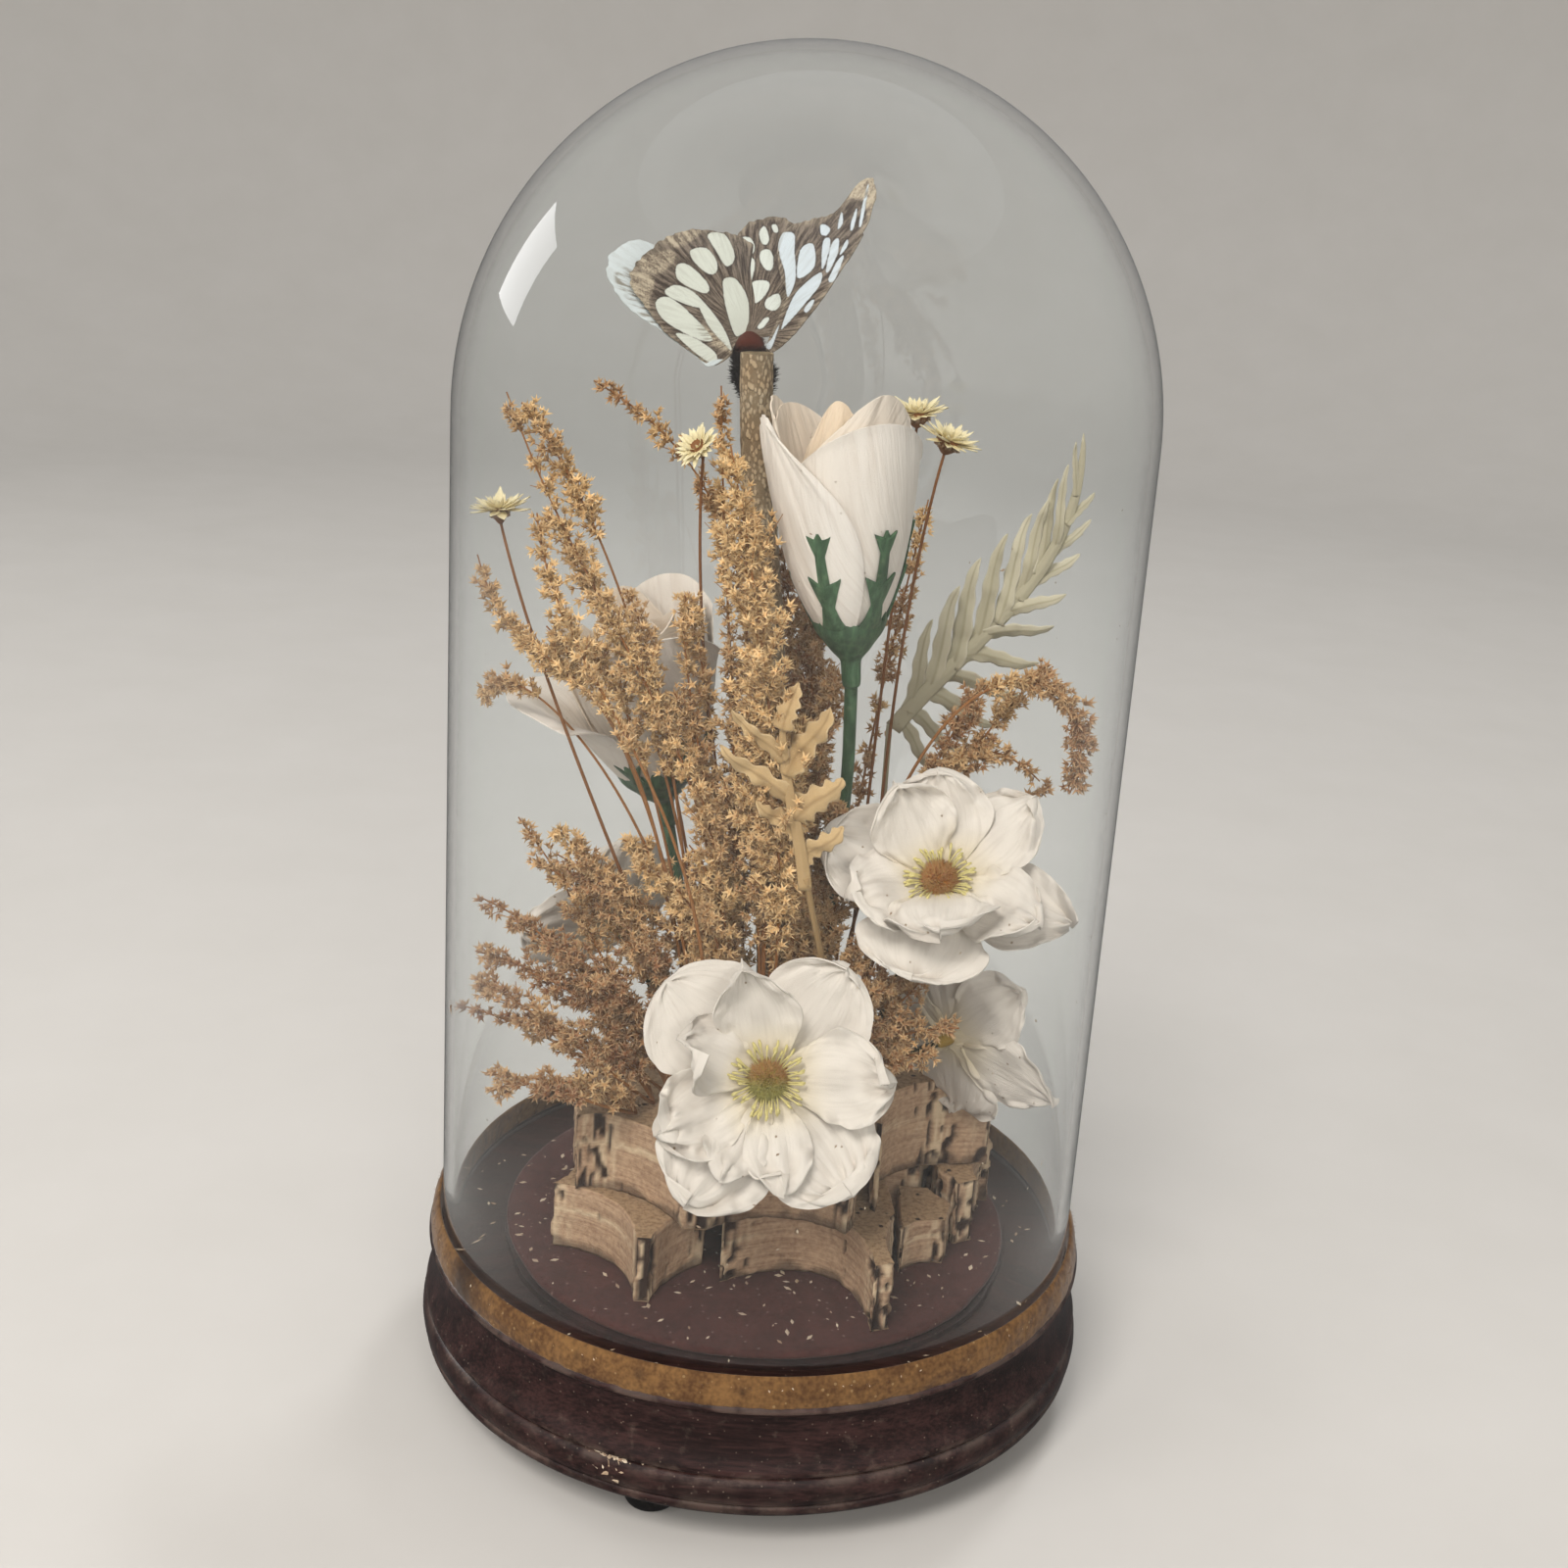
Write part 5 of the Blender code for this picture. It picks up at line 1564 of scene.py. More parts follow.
@dataclass
class Anemone:
    """A cloth flower: two rings of petals, a furry dome with a ring of filaments, a stem."""

    name: str
    centre: Point
    way: Point
    layers: tuple[tuple[ClothPetal, ...], ...]
    stem: tuple[Point, ...]
    stamens: float
    russet: float = 0.0
    hole: float = 2.2
    hairs: int = 1700
    filaments: int = 64
    grid: tuple[int, int] = (54, 56)
    cloth: float = 0.35

    def petal(self, cut: ClothPetal, lift: float, seed: int) -> Shape:
        """A petal along a bent line.

        The line's slope is slope + bend v^2, and its points are the running sums of the
        slope's cosine and sine. The half width swells to v = 0.66 and closes
        as (1 - v^k)^q. Pleats, ruffles, a frilled rim, rolled sides and twist are offsets along
        the normal, and lean bends the line sideways as v^2.

        Args:
            cut: its sizes.
            lift: height of its root above the flower's plane.
            seed: picks its unevenness.

        Returns:
            The closed sheet.
        """
        v, u = lattice(*self.grid)
        at = together(u * cut.width, v * cut.length, seed * 7.3)
        wave, small = hills(at, 8.0, seed), hills(at, 3.0, seed + 1)
        slope = np.radians(cut.slope + cut.bend * v * v)
        span = (cut.length - self.hole) / (len(v) - 1)
        out = self.hole + np.cumsum(np.cos(slope), 0) * span
        rise = lift + np.cumsum(np.sin(slope), 0) * span
        close = 4.6 - 2.4 * cut.point
        half = cut.width * (0.2 + 0.8 * smoothly(v, -0.15, 0.66))
        half = half * np.maximum(1.0 - v ** close, 0.0) ** (0.5 + 0.35 * cut.point) + 0.05
        edge = np.minimum(np.abs(u) ** 3 + v ** 6, 1.0)
        offset = cut.ruffle * (v * wave * 1.2 + edge * small * 0.9)
        phase = np.arctan2(u, v - 0.3) * (9.0 + seed % 3)
        offset += 0.5 * cut.ruffle * edge * v * np.sin(phase + seed + 1.6 * wave)
        offset += cut.roll * np.abs(u) ** 2.5 * smoothly(v, 0.15, 0.8)
        offset += cut.twist * u * v * v
        if cut.pleats:
            offset += 0.55 * np.cos(cut.pleats * math.pi * u) * smoothly(v, 0.1, 0.9)
        scallop = 0.5 - 0.5 * np.cos((cut.pleats or 5.0) * math.pi * u + seed)
        reach = 1.0 - (cut.notch * scallop + 0.025 + 0.025 * small) * v ** 5
        side = u * half * (1.0 + 0.07 * wave * v + 0.05 * small * edge) + cut.lean * v * v
        grid = together(out * reach - np.sin(slope) * offset, side,
                        rise + np.cos(slope) * offset)
        cos, sin = math.cos(math.radians(cut.turn)), math.sin(math.radians(cut.turn))
        grid = grid @ np.array([[cos, sin, 0], [-sin, cos, 0], [0, 0, 1.0]])
        # Painted shade: darker where the petal dips back in its ruffles and pleats, and along its
        # large waves.
        shade = 0.3 * smoothly(-offset, 0.2, 1.6) + 0.16 * smoothly(wave, 0.2, 0.8)
        tone = together(smoothly(v, 0.5, 0.0) * 0.8 + 0.12, shade, 0)
        wrap = together(u * cut.width * (0.4 + 0.6 * v), v * cut.length, 0)
        return sheets(grid, self.cloth, tone, wrap)

    def middle(self) -> Shape:
        """The dome with its fur, and a ring of filaments with flat tips.

        Tones run from green-yellow at the display's foot to orange at its top.
        """
        s = self.stamens
        rng, count = np.random.default_rng(int(s * 10)), self.hairs
        dome = turned(rounded([
            (0, 5.6), (0.4 * s, 5.4), (0.7 * s, 4.6), (0.78 * s, 3.8), (0.7 * s, 3.2), (1.9, 3.0),
            (1.9, -2.0), (1.2, -4.6), (0, -4.7)], 2), 36).toned((0, 0.2 + 0.6 * self.russet, 0))
        turn, lean = rng.uniform(0, TAU, count), np.arccos(rng.uniform(0.0, 1, count))
        ways = polar(np.sin(lean), turn, np.cos(lean))
        roots = ways * [0.7 * s, 0.7 * s, 2.2] + [0, 0, 3.2]
        top = np.clip(smoothly(ways[:, 1], -0.45, 0.35) * 0.9 + self.russet, 0, 1)
        tones = together(rng.random(count) * 0.7, top * rng.uniform(0.6, 1, count), 0)
        ways = ways + rng.normal(0, 0.3, ways.shape)
        fur = spike(0.09).repeated(roots, spun(ways, turn), rng.uniform(1.1, 2.4, count), tones)
        fur.tone[:, 2] *= 0.5
        count = self.filaments
        turn = np.arange(count) * TAU / count + rng.normal(0, 0.07, count)
        t = np.linspace(0, 1, 7)
        reach = s * 0.7 + t[None] * (rng.uniform(0.55, 1.1, count)[:, None] * s)
        level = 3.4 + 2.6 * np.sin(t * 2.0)[None] * rng.uniform(0.5, 1.3, count)[:, None]
        swing = turn[:, None] + rng.normal(0, 0.12, count)[:, None] * t
        ring = tubes(polar(reach, swing, level), [0.2, 0.18, 0.16, 0.16, 0.2, 0.42, 0.25], 5,
                     together(0.7 + 0.3 * rng.random(count), 0, 0.9))
        return Shape.joined([dome, fur, ring])

    def build(self, cloth: bpy.types.Material, fur: bpy.types.Material,
              wire: bpy.types.Material) -> None:
        """Makes the petals, the middle and the stem."""
        axes, stem = facing(self.way), (f"{self.name}_stem",)
        for label, layer, lift in zip(("outer", "inner"), self.layers, (0.0, 1.3)):
            parts = [self.petal(cut, lift + 0.35 * (number % 2), number + len(label) * 3)
                     for number, cut in enumerate(layer)]
            show(f"{self.name}_{label}_cloth", Shape.joined(parts).placed(self.centre, axes),
                 cloth, (f"{self.name}_{label}_petals",), crease=60)
        middle = self.middle().placed(self.centre, axes)
        show(f"{self.name}_middle", middle, fur, stem)
        start = np.array(self.centre) + axes[2] * -4.0
        line = flowing(np.vstack([start, *self.stem]), 40)
        show(f"{self.name}_wire", tubes(line, 0.95, 14), wire, stem)


@dataclass
class Daisy:
    """A small dried daisy: a wiry stem, a brown cup and rows of narrow petals."""

    name: str
    path: tuple[Point, Point, Point, Point]
    way: Point
    cup: float = 1.0
    seed: int = 1
    reach: float = 6.9

    def build(self, dry: bpy.types.Material) -> None:
        """Makes the daisy."""
        rng = np.random.default_rng(self.seed)
        line = bezier(self.path, np.linspace(0, 1, 40))
        stem = tubes(line, np.linspace(0.5, 0.36, 40), 10, (0.2, 1.0, 0.0))
        profile = np.array([(0, 3.9), (1.6, 3.7), (2.3, 3.0), (2.2, 1.8), (1.4, 0.4), (0.5, -0.8),
                            (0, -0.9)])
        cup = turned(rounded(profile * [self.cup, 1.0], 2), 24).toned((0.25, 1.0, 0.0))
        bracts = spike(0.5).repeated(*self.rows(rng, 22, 1.9 * self.cup, 1.2, 1.2, 1.6, 0.95))
        petals = [leaf(0.17, 0.12, 0.2).repeated(*self.rows(rng, *row)) for row in (
            (19, 1.4, 0.02, 2.7, self.reach, 0.0), (17, 1.4, 0.35, 3.0, 0.84 * self.reach, 0.0),
            (12, 1.2, 0.8, 3.4, 0.5 * self.reach, 0.05))]
        head = Shape.joined([cup, bracts, *petals]).placed(self.path[3], facing(self.way))
        show(f"{self.name}_dried", Shape.joined([stem, head]), dry, (self.name,))

    def rows(self, rng: np.random.Generator, count: int, start: float, lift: float,
             height: float, size: float, brown: float) -> tuple[Array, Array, Array, Array]:
        """Places for one row of petals round the head.

        Args:
            rng: its unevenness.
            count: petals in the row.
            start: how far from the axis they start.
            lift: their slope in radians.
            height: the height they start at.
            size: their length.
            brown: their share of the third colour.

        Returns:
            Origins, axes, sizes and tones.
        """
        turn = np.arange(count) * TAU / count + rng.normal(0, 0.09, count)
        slope = (lift + rng.normal(0, 0.12, count))[:, None]
        flat, up = polar(1, turn, 0), np.array([0.0, 0.0, 1.0])
        z = flat * np.cos(slope) + up * np.sin(slope)
        y = up * np.cos(slope) - flat * np.sin(slope)
        tones = together(0.4 + 0.5 * rng.random(count), brown, 0)
        return (flat * start + up * height, np.stack([np.cross(y, z), y, z], 1),
                size * rng.uniform(0.85, 1.05, count), tones)


# ---------------------------------------------------------------- grasses, ferns and crumbs

def fanned(foot: Point, tip: Point) -> Array:
    """Four guides from a foot to a tip: steep at first, leaning out above."""
    share = np.array([[0, 0, 0], [0.12, 0.12, 0.45], [0.55, 0.55, 0.85], [1, 1, 1]])
    return foot + share * np.subtract(tip, foot)


@dataclass
class GrassSpray:
    """A dried spray: a stem, side twigs that lean along it, and pointed florets on them.

    A plant is (its four guides, girth of the plume, bare share of the stem).
    """

    name: str
    plants: list[tuple[Array, float, float]]
    russet: float
    seed: int
    knot_spacing: float = 8.0
    floret_spacing: float = 1.15

    def plant(self, path: Array, girth: float, bare: float, seed: int) -> Shape:
        """One stem with its plume.

        The plume's radius is 1 + girth sin(pi s^0.75)^0.6, s from 0 where the stem stops
        being bare to 1 at its tip, the girth times value noise, so that it is clumpy. Twigs
        gather in knots, s + 0.8 sin(n s) / n, and turn round the stem by the golden angle.

        Args:
            path: the stem's four guides.
            girth: the plume's greatest radius.
            bare: the share of the stem without florets.
            seed: picks its unevenness.

        Returns:
            Stem, twigs and florets.
        """
        rng = np.random.default_rng(seed)
        line = bezier(path, np.linspace(0, 1, 60))
        length = float(np.sum(np.linalg.norm(np.diff(line, axis=0), axis=1)))
        stem = tubes(line, np.linspace(0.5, 0.2, 60), 8, (0.0, 0.6, 0))
        count = int(length * (1.0 - bare) * (0.8 + 0.09 * girth))
        knots = max(2, round(length * (1.0 - bare) / self.knot_spacing))
        s = np.sort(rng.random(count))
        s = s + 0.8 * np.sin(TAU * knots * s) / (TAU * knots)
        at = bare + (0.985 - bare) * s
        root = bezier(path, at)
        along = unit(bezier(path, np.minimum(at + 0.02, 1.0)) - bezier(path, at - 0.02))
        out = spun(along, np.arange(count) * GOLDEN_ANGLE + rng.normal(0, 0.3, count))[:, 0]
        clump = 0.8 + 0.7 * hills(root + out * 2.0, 5.0, seed)
        plume = np.sin(math.pi * np.clip(s, 0.02, 0.95) ** 0.75) ** 0.6
        radius = 1.0 + girth * np.maximum(clump, 0.2) * plume
        lean = rng.uniform(0.5, 1.0, count)[:, None]
        way = unit(along * np.cos(lean) + out * np.sin(lean))
        reach = radius * rng.uniform(0.55, 1.0, count) / np.sin(lean[:, 0])
        t, far = np.linspace(0, 1, 4)[None, :, None], reach[:, None, None]
        lines = root[:, None] + way[:, None] * (t * far) + out[:, None] * (t * t * 0.12) * far
        twigs = tubes(lines, [0.16, 0.13, 0.11, 0.08], 4, (0.1, 0.5, 0.0))
        each = np.maximum(2, np.round(reach / self.floret_spacing)).astype(int)
        owner = np.repeat(np.arange(count), each)
        total, order = len(owner), np.arange(len(owner)) - np.repeat(np.cumsum(each) - each, each)
        share = (order + rng.uniform(0.35, 1.0, total)) / each[owner]
        place = root[owner] + way[owner] * (share * reach[owner])[:, None]
        place = place + rng.normal(0, 0.45, place.shape)
        axis = way[owner] * 0.9 + out[owner] * 0.3 + rng.normal(0, 0.55, place.shape)
        # Florets are painted darker near the stem and lighter out at the twig's end: painted shade
        # inside the plume, with random spread.
        lit = np.clip(0.1 + 0.7 * share + rng.normal(0, 0.24, total), 0, 1)
        tint = np.clip(self.russet + 0.5 * hills(place, 9.0, seed), 0, 1)
        florets = star(5, 50.0, 0.25).repeated(place, spun(axis, owner * 1.0),
                                               rng.uniform(1.1, 2.15, total),
                                               together(lit, tint, 0))
        return Shape.joined([stem, twigs, florets])

    def build(self, dry: bpy.types.Material) -> None:
        """Makes the spray."""
        parts = [self.plant(path, girth, bare, self.seed + number)
                 for number, (path, girth, bare) in enumerate(self.plants)]
        show(f"{self.name}_spray", Shape.joined(parts), dry, (self.name,), smooth=False)


def sprays() -> list[GrassSpray]:
    """All the sprays.

    A row holds the main plant's foot, guides, girth and bare share, the spray's share of
    russet, and for each lesser plant its tip, girth and bare share.
    """
    table: dict[str, tuple] = {
        "centre": ((-1, -20), (6, -32, 150), (-4, -36, 203), (-17, -26, 256), 8.8, 0.25, 0.0,
            (-12, -27, 240, 6.5, 0.45), (-6, -28, 205, 7, 0.35), (-12, -26, 190, 5, 0.4),
            (4, -26, 192, 4, 0.4)),
        "upper_left": ((-14, -9), (-8, -20, 184), (-39, -24, 190), (-72, -6, 262), 4.6, 0.4, 0.05,
            (-68, -8, 260, 4, 0.7), (-61, -12, 235, 3, 0.65)),
        "left": ((-18, -12), (-34, -35, 235), (-63, -21, 181), (-77, -14, 224), 3.8, 0.5, 0.12,
            (-50, -14, 205, 4.2, 0.6), (-41, -10, 217, 4.2, 0.5)),
        "left_inner": ((-15, -22), (-10, -60, 187), (-55, -34, 195), (-62, -19, 236), 2.6, 0.5, 0.1,
            (-59, -20, 209, 3, 0.75)),
        "far_left": ((-22, -6), (-11, -22, 145), (-69, -10, 213), (-77, -6, 184), 3.2, 0.72, 0.3,
            (-56, -22, 158, 3, 0.5)),
        "top_left": ((-9, 9), (-18, 2, 156), (11, 14, 232), (-53, 10, 264), 3.2, 0.5, 0.5),
        "top_spike": ((-6, -5), (-7, -6, 146), (-17, -10, 206), (-21, 0, 266), 2.2, 0.6, 0.3),
        "back_brown": ((7, 10), (-2, 12, 126), (8, 8, 175), (4, 10, 216), 6.5, 0.3, 0.8,
            (5, 5, 214, 7, 0.4), (11, 0, 196, 6, 0.4), (-4, 8, 226, 5, 0.5)),
        "middle_left": ((-10, -1), (-4, -10, 129), (-22, -9, 162), (-27, -11, 211), 4.2, 0.4, 0.35,
            (-50, -22, 150, 4, 0.3), (-39, -15, 154, 4.5, 0.35), (-28, -12, 192, 3.8, 0.45),
            (-27, -8, 216, 3.4, 0.6), (-15, -14, 205, 4.5, 0.35), (-14, -22, 172, 6, 0.2),
            (-11, -20, 152, 6, 0.1), (-20, -24, 150, 6, 0.1)),
        "right_thin": ((18, 15), (16, 22, 136), (25, 30, 189), (33, 28, 237), 3.0, 0.4, 0.5),
        "right_arch": ((16, -2), (24, -7, 237), (84, -13, 207), (72, -10, 172), 4.2, 0.45, 0.5),
        "right_low": ((22, 4), (27, 1, 129), (33, 2, 201), (66, 2, 171), 3.5, 0.5, 0.6,
            (66, 0, 202, 3.5, 0.5), (50, 0, 196, 4, 0.5), (45, -5, 179, 4, 0.5),
            (61, 0, 162, 3, 0.6), (70, 8, 168, 1.6, 0.45)),
        "lower_left_top": ((-20, -10), (-40, -19, 96), (-33, -15, 116), (-67, -6, 155), 5.0, 0.2,
            0.6, (-45, -20, 144, 6.5, 0.2), (-55, -18, 150, 5, 0.25), (-36, -26, 131, 6, 0.1),
            (-62, -14, 147, 4, 0.3)),
        "lower_left_mid": ((-24, -17), (-43, -32, 104), (-41, -26, 128), (-74, -20, 138), 4.4, 0.3,
            0.85, (-74, -24, 125, 3.5, 0.4), (-56, -28, 130, 6, 0.2), (-45, -32, 122, 6, 0.1),
            (-66, -22, 132, 4.5, 0.3)),
        "lower_left_out": ((-28, -22), (-32, -42, 97), (-66, -36, 124), (-72, -31, 119), 4.4, 0.3,
            0.85, (-65, -34, 112, 3, 0.4), (-50, -38, 109, 6, 0.2), (-60, -30, 123, 5, 0.3)),
        "lower_left_low": ((-32, -28), (-39, -52, 97), (-62, -44, 105), (-65, -40, 94), 3.8, 0.3,
            0.6, (-68, -40, 99, 3, 0.4), (-43, -42, 98, 6, 0.15), (-53, -44, 98, 5, 0.2),
            (-78, -26, 111, 1.5, 0.3)),
        "low_centre": ((-8, -16), (-12, -22, 108), (-5, -24, 136), (-22, -24, 157), 6.0, 0.2, 0.3,
            (-33, -28, 152, 6, 0.2), (-21, -25, 173, 6, 0.25), (-24, -34, 149, 5, 0.2),
            (-17, -36, 144, 5, 0.2)),
        "low_right": ((14, -16), (15, -25, 100), (27, -29, 112), (38, -24, 125), 5.0, 0.25, 0.6,
            (29, -26, 125, 6, 0.25), (36, -30, 116, 6, 0.15), (22, -22, 133, 5, 0.3),
            (37, -24, 126, 5, 0.3), (28, -34, 126, 6, 0.2), (34, -34, 107, 6, 0.1),
            (27, -34, 114, 6, 0.15), (47, -36, 118, 5, 0.15), (42, -36, 110, 5, 0.15)),
        "low_middle": ((8, -12), (7, -22, 113), (6, -15, 137), (6, -10, 163), 6.0, 0.25, 0.4,
            (-9, -25, 166, 6, 0.3), (2, -30, 150, 5, 0.35), (-8, -20, 182, 6, 0.3),
            (11, -14, 156, 5, 0.4), (-6, -27, 150, 6, 0.1), (-3, -20, 166, 6, 0.1),
            (14, -14, 166, 6, 0.15), (19, -12, 148, 6, 0.15), (12, -8, 150, 6, 0.15))}
    made = []
    for number, (name, row) in enumerate(table.items()):
        foot, low, high, tip, girth, bare, russet, *lesser = row
        foot = (*foot, CORK_TOP)
        plants = [(np.array([foot, low, high, tip], float), girth, bare)]
        plants += [(fanned(foot, end[:3]), *end[3:]) for end in lesser]
        made.append(GrassSpray(f"grass_{name}", plants, russet, 20 + 9 * number))
    return made


@dataclass
class FernFrond:
    """A bleached frond in one plane: pointed leaflets joined along a flat curved blade.

    A leaflet is (its place along the blade, its tip's x and z, its half width).
    """

    name: str
    midrib: Outline
    leaflets: tuple[tuple[float, float, float, float], ...]
    blade: float
    depth: float
    stalk: tuple[Point, ...]
    wave: float = 0.9
    lobe: float = 0.6
    seed: int = 4
    thickness: float = 0.35

    def build(self, bleached: bpy.types.Material) -> None:
        """Makes the frond.

        A leaflet's line is a cubic curve that leaves the blade along it and out from it. Its
        half width is w (0.75 + 0.75 v) (1 - v)^0.7, its sides fold back as |u|, and it waves by
        value noise. Its edge is lobed: w is times 1 + 0.2 lobe sin(26 v + leaflet).
        """
        rng = np.random.default_rng(self.seed)
        controls = np.array([(x, self.depth, z) for x, z in self.midrib], float)
        t, x, z, wide = np.array(self.leaflets, float).T
        count = len(t)
        roots = bezier(controls, t)
        ahead = unit(bezier(controls, t + 0.01) - roots)
        tips = together(x, self.depth + rng.uniform(-3, 3, count), z)
        span = np.linalg.norm(tips - roots, axis=1, keepdims=True)
        out = unit(tips - roots)
        bends = np.stack([roots, roots + unit(ahead * 0.7 + out) * span * 0.35,
                          tips - unit(ahead * 0.9 + out * 0.6) * span * 0.3, tips])
        v, u = np.linspace(0, 1, 26), np.linspace(-1, 1, 9)
        lines = bezier(bends[:, :, None], v)
        back = np.array([0.0, 1.0, 0.0])
        side = unit(np.cross(unit(np.gradient(lines, axis=1)), back))
        half = wide[:, None] * (0.75 + 0.75 * v) * np.maximum(1.0 - v, 0.0) ** 0.7 + 0.04
        half = half * (1.0 + 0.2 * self.lobe * np.sin(26.0 * v + np.arange(count)[:, None]))
        half = half[:, :, None]
        grid = lines[:, :, None] + side[:, :, None] * (half * u)[..., None]
        wave = hills(grid, 3.5, self.seed)
        tilt = rng.normal(0.15, 0.3, count)[:, None, None] * u * half
        grid = grid + (0.4 * np.abs(u) * half + self.wave * wave + tilt)[..., None] * back
        # Leaflets are painted darker at their base, as painted shade where they join the blade. The
        # spread between leaflets is random.
        lit = rng.uniform(0.45, 1.0, count)[:, None, None] * (0.35 + 0.65 * v[:, None])
        vein = smoothly(0.25 - np.abs(u), 0.0, 0.2) * 0.6
        leaves = sheets(grid, self.thickness, together(lit, vein, smoothly(np.abs(u), 0.7, 1.0)))
        s = np.linspace(0, 1, 40)
        line = bezier(controls, s)
        side = unit(np.cross(unit(np.gradient(line, axis=0)), back))
        half = self.blade * (1.0 - 0.5 * s) * np.sqrt(np.maximum(1.0 - s ** 8, 0)) + 0.05
        strip = line[:, None] + side[:, None] * (half[:, None] * u)[..., None]
        strip[:, :, 1] += 0.3 * np.abs(u) * half[:, None]
        stalk = tubes(flowing(self.stalk, 40), np.linspace(0.9, 0.8, 40), 8, (0.3, 0.4, 0.0))
        frond = Shape.joined([leaves, sheets(strip, 0.4, (0.5, 0.25, 0.0)), stalk])
        show(f"{self.name}_bleached", frond, bleached, (self.name,))


@dataclass
class Crumbs:
    """Flakes of dried plant and cork: fallen on the disc and in the channel, clinging to the
    glass, and stuck on the base and its velvet ring."""

    disc: int = 330
    channel: int = 90
    glass: int = 120
    lump: int = 170
    band: int = 150
    lump_angle: float = 250.2
    seed: int = 8

    def scattered(self, count: int, radius: Array | float, turn: Array, height: Array | float,
                  face: Array, largest: float) -> Shape:
        """Flat flakes lying on a surface.

        Args:
            count: how many.
            radius: each one's distance from the axis.
            turn: its angle round it.
            height: its height.
            face: the surface's normal under it.
            largest: the largest flake's size.

        Returns:
            The flakes.
        """
        rng = np.random.default_rng(self.seed + count)
        corner = np.array([[1, 0, 0], [0, 0.45, 0], [-1, 0, 0], [0, -0.5, 0], [0.1, 0, 0.22],
                           [0, 0.1, -0.1]])
        j, k = around(4)
        sides = np.vstack([together(j, k, 4), together(k, j, 5)])
        up = face + rng.normal(0, 0.12, (count, 3))
        tones = together(rng.random(count), rng.random(count) * 0.5, 0)
        sizes = (rng.uniform(0.25, 1.0, count) ** 1.5 + 0.15) * largest
        return Shape.of(corner, [sides]).repeated(
            polar(radius, turn, height), spun(up, rng.uniform(0, TAU, count)), sizes, tones)

    def build(self, dry: bpy.types.Material) -> None:
        """Scatters the flakes."""
        rng, level = np.random.default_rng(self.seed), np.array([[0.0, 0.0, 1.0]])
        flakes = [self.scattered(self.disc, 67.0 * np.sqrt(rng.random(self.disc)),
                                 rng.uniform(0, TAU, self.disc), 44.15, level, 1.15),
                  self.scattered(self.channel, rng.uniform(70, 81.5, self.channel),
                                 rng.uniform(0, TAU, self.channel), 39.7, level, 1.15)]
        count = self.glass
        turn = np.where(rng.random(count) < 0.65, rng.normal(-0.7, 0.5, count),
                        rng.uniform(0, TAU, count))
        height = 48 + 205 * rng.random(count) ** 1.6
        flakes.append(self.scattered(count, 82.3, turn, height, -polar(1, turn, 0), 0.62))
        count = self.lump
        turn = rng.normal(math.radians(self.lump_angle), 0.03, count)
        height = 19.8 + rng.normal(0, 1.2, count)
        bulge = 90.25 - 0.06 * (height - 16.0) ** 2 - 0.45 * rng.random(count)
        flakes.append(self.scattered(count, bulge, turn, height, polar(1, turn, 0.2), 1.35))
        count = self.band
        turn = rng.uniform(0, TAU, count)
        height = rng.choice([42.4, 43.5, 45.0, 46.0], count) + rng.normal(0, 0.3, count)
        flakes.append(self.scattered(count, 87.5, turn, height, polar(1, turn, 0.1), 0.5))
        show("fallen_crumbs", Shape.joined(flakes), dry, smooth=False)


def roses() -> list[Rose]:
    """The two roses."""
    return [
        Rose("rose_high", (14, -20, 209), (-0.10, 0.0, 0.995), 52, 17.0, (
            RosePetal(125, 75, 57, 0.0, 0.3, 20, 1.2), RosePetal(180, 62, 59.5, 0.2, 0.5, -12, 1.0),
            RosePetal(30, 55, 56, 0.2, 0.5, 8, 1.4), RosePetal(274, 95, 60.5, -0.5, 0.6, 34, 1.6),
            RosePetal(250, 70, 59.5, -1.5, 0.7, 14, 4.6),
            RosePetal(298, 78, 54.5, 0.2, 0.0, 0, 0.0, 0.2),
            RosePetal(236, 62, 56.5, 1.2, 0.85, -36, -0.9, 0.3)),
            ((16, -13, 175), (15, -6, 145), (13, -4, CORK_TOP)), 0.5),
        Rose("rose_low", (-32, 17, 157), (-0.22, -0.02, 0.97), 46, 20.5, (
            RosePetal(100, 60, 52, 1.0, 0.7, 0, 2.2), RosePetal(20, 60, 49, 0.5, 0.6, 0, 1.6),
            RosePetal(150, 50, 47, 2.0, 0.6, 0, 1.4), RosePetal(65, 62, 53, 3.0, 0.3, 0, 0.4),
            RosePetal(290, 64, 46, 2.0, 0.0, 0, 0.0, 0.4),
            RosePetal(190, 66, 34.5, 14.5, 0.1, 0, -0.8, 1.2)),
            ((-25, 14, 125), (-18, 11, CORK_TOP)), 0.28)]


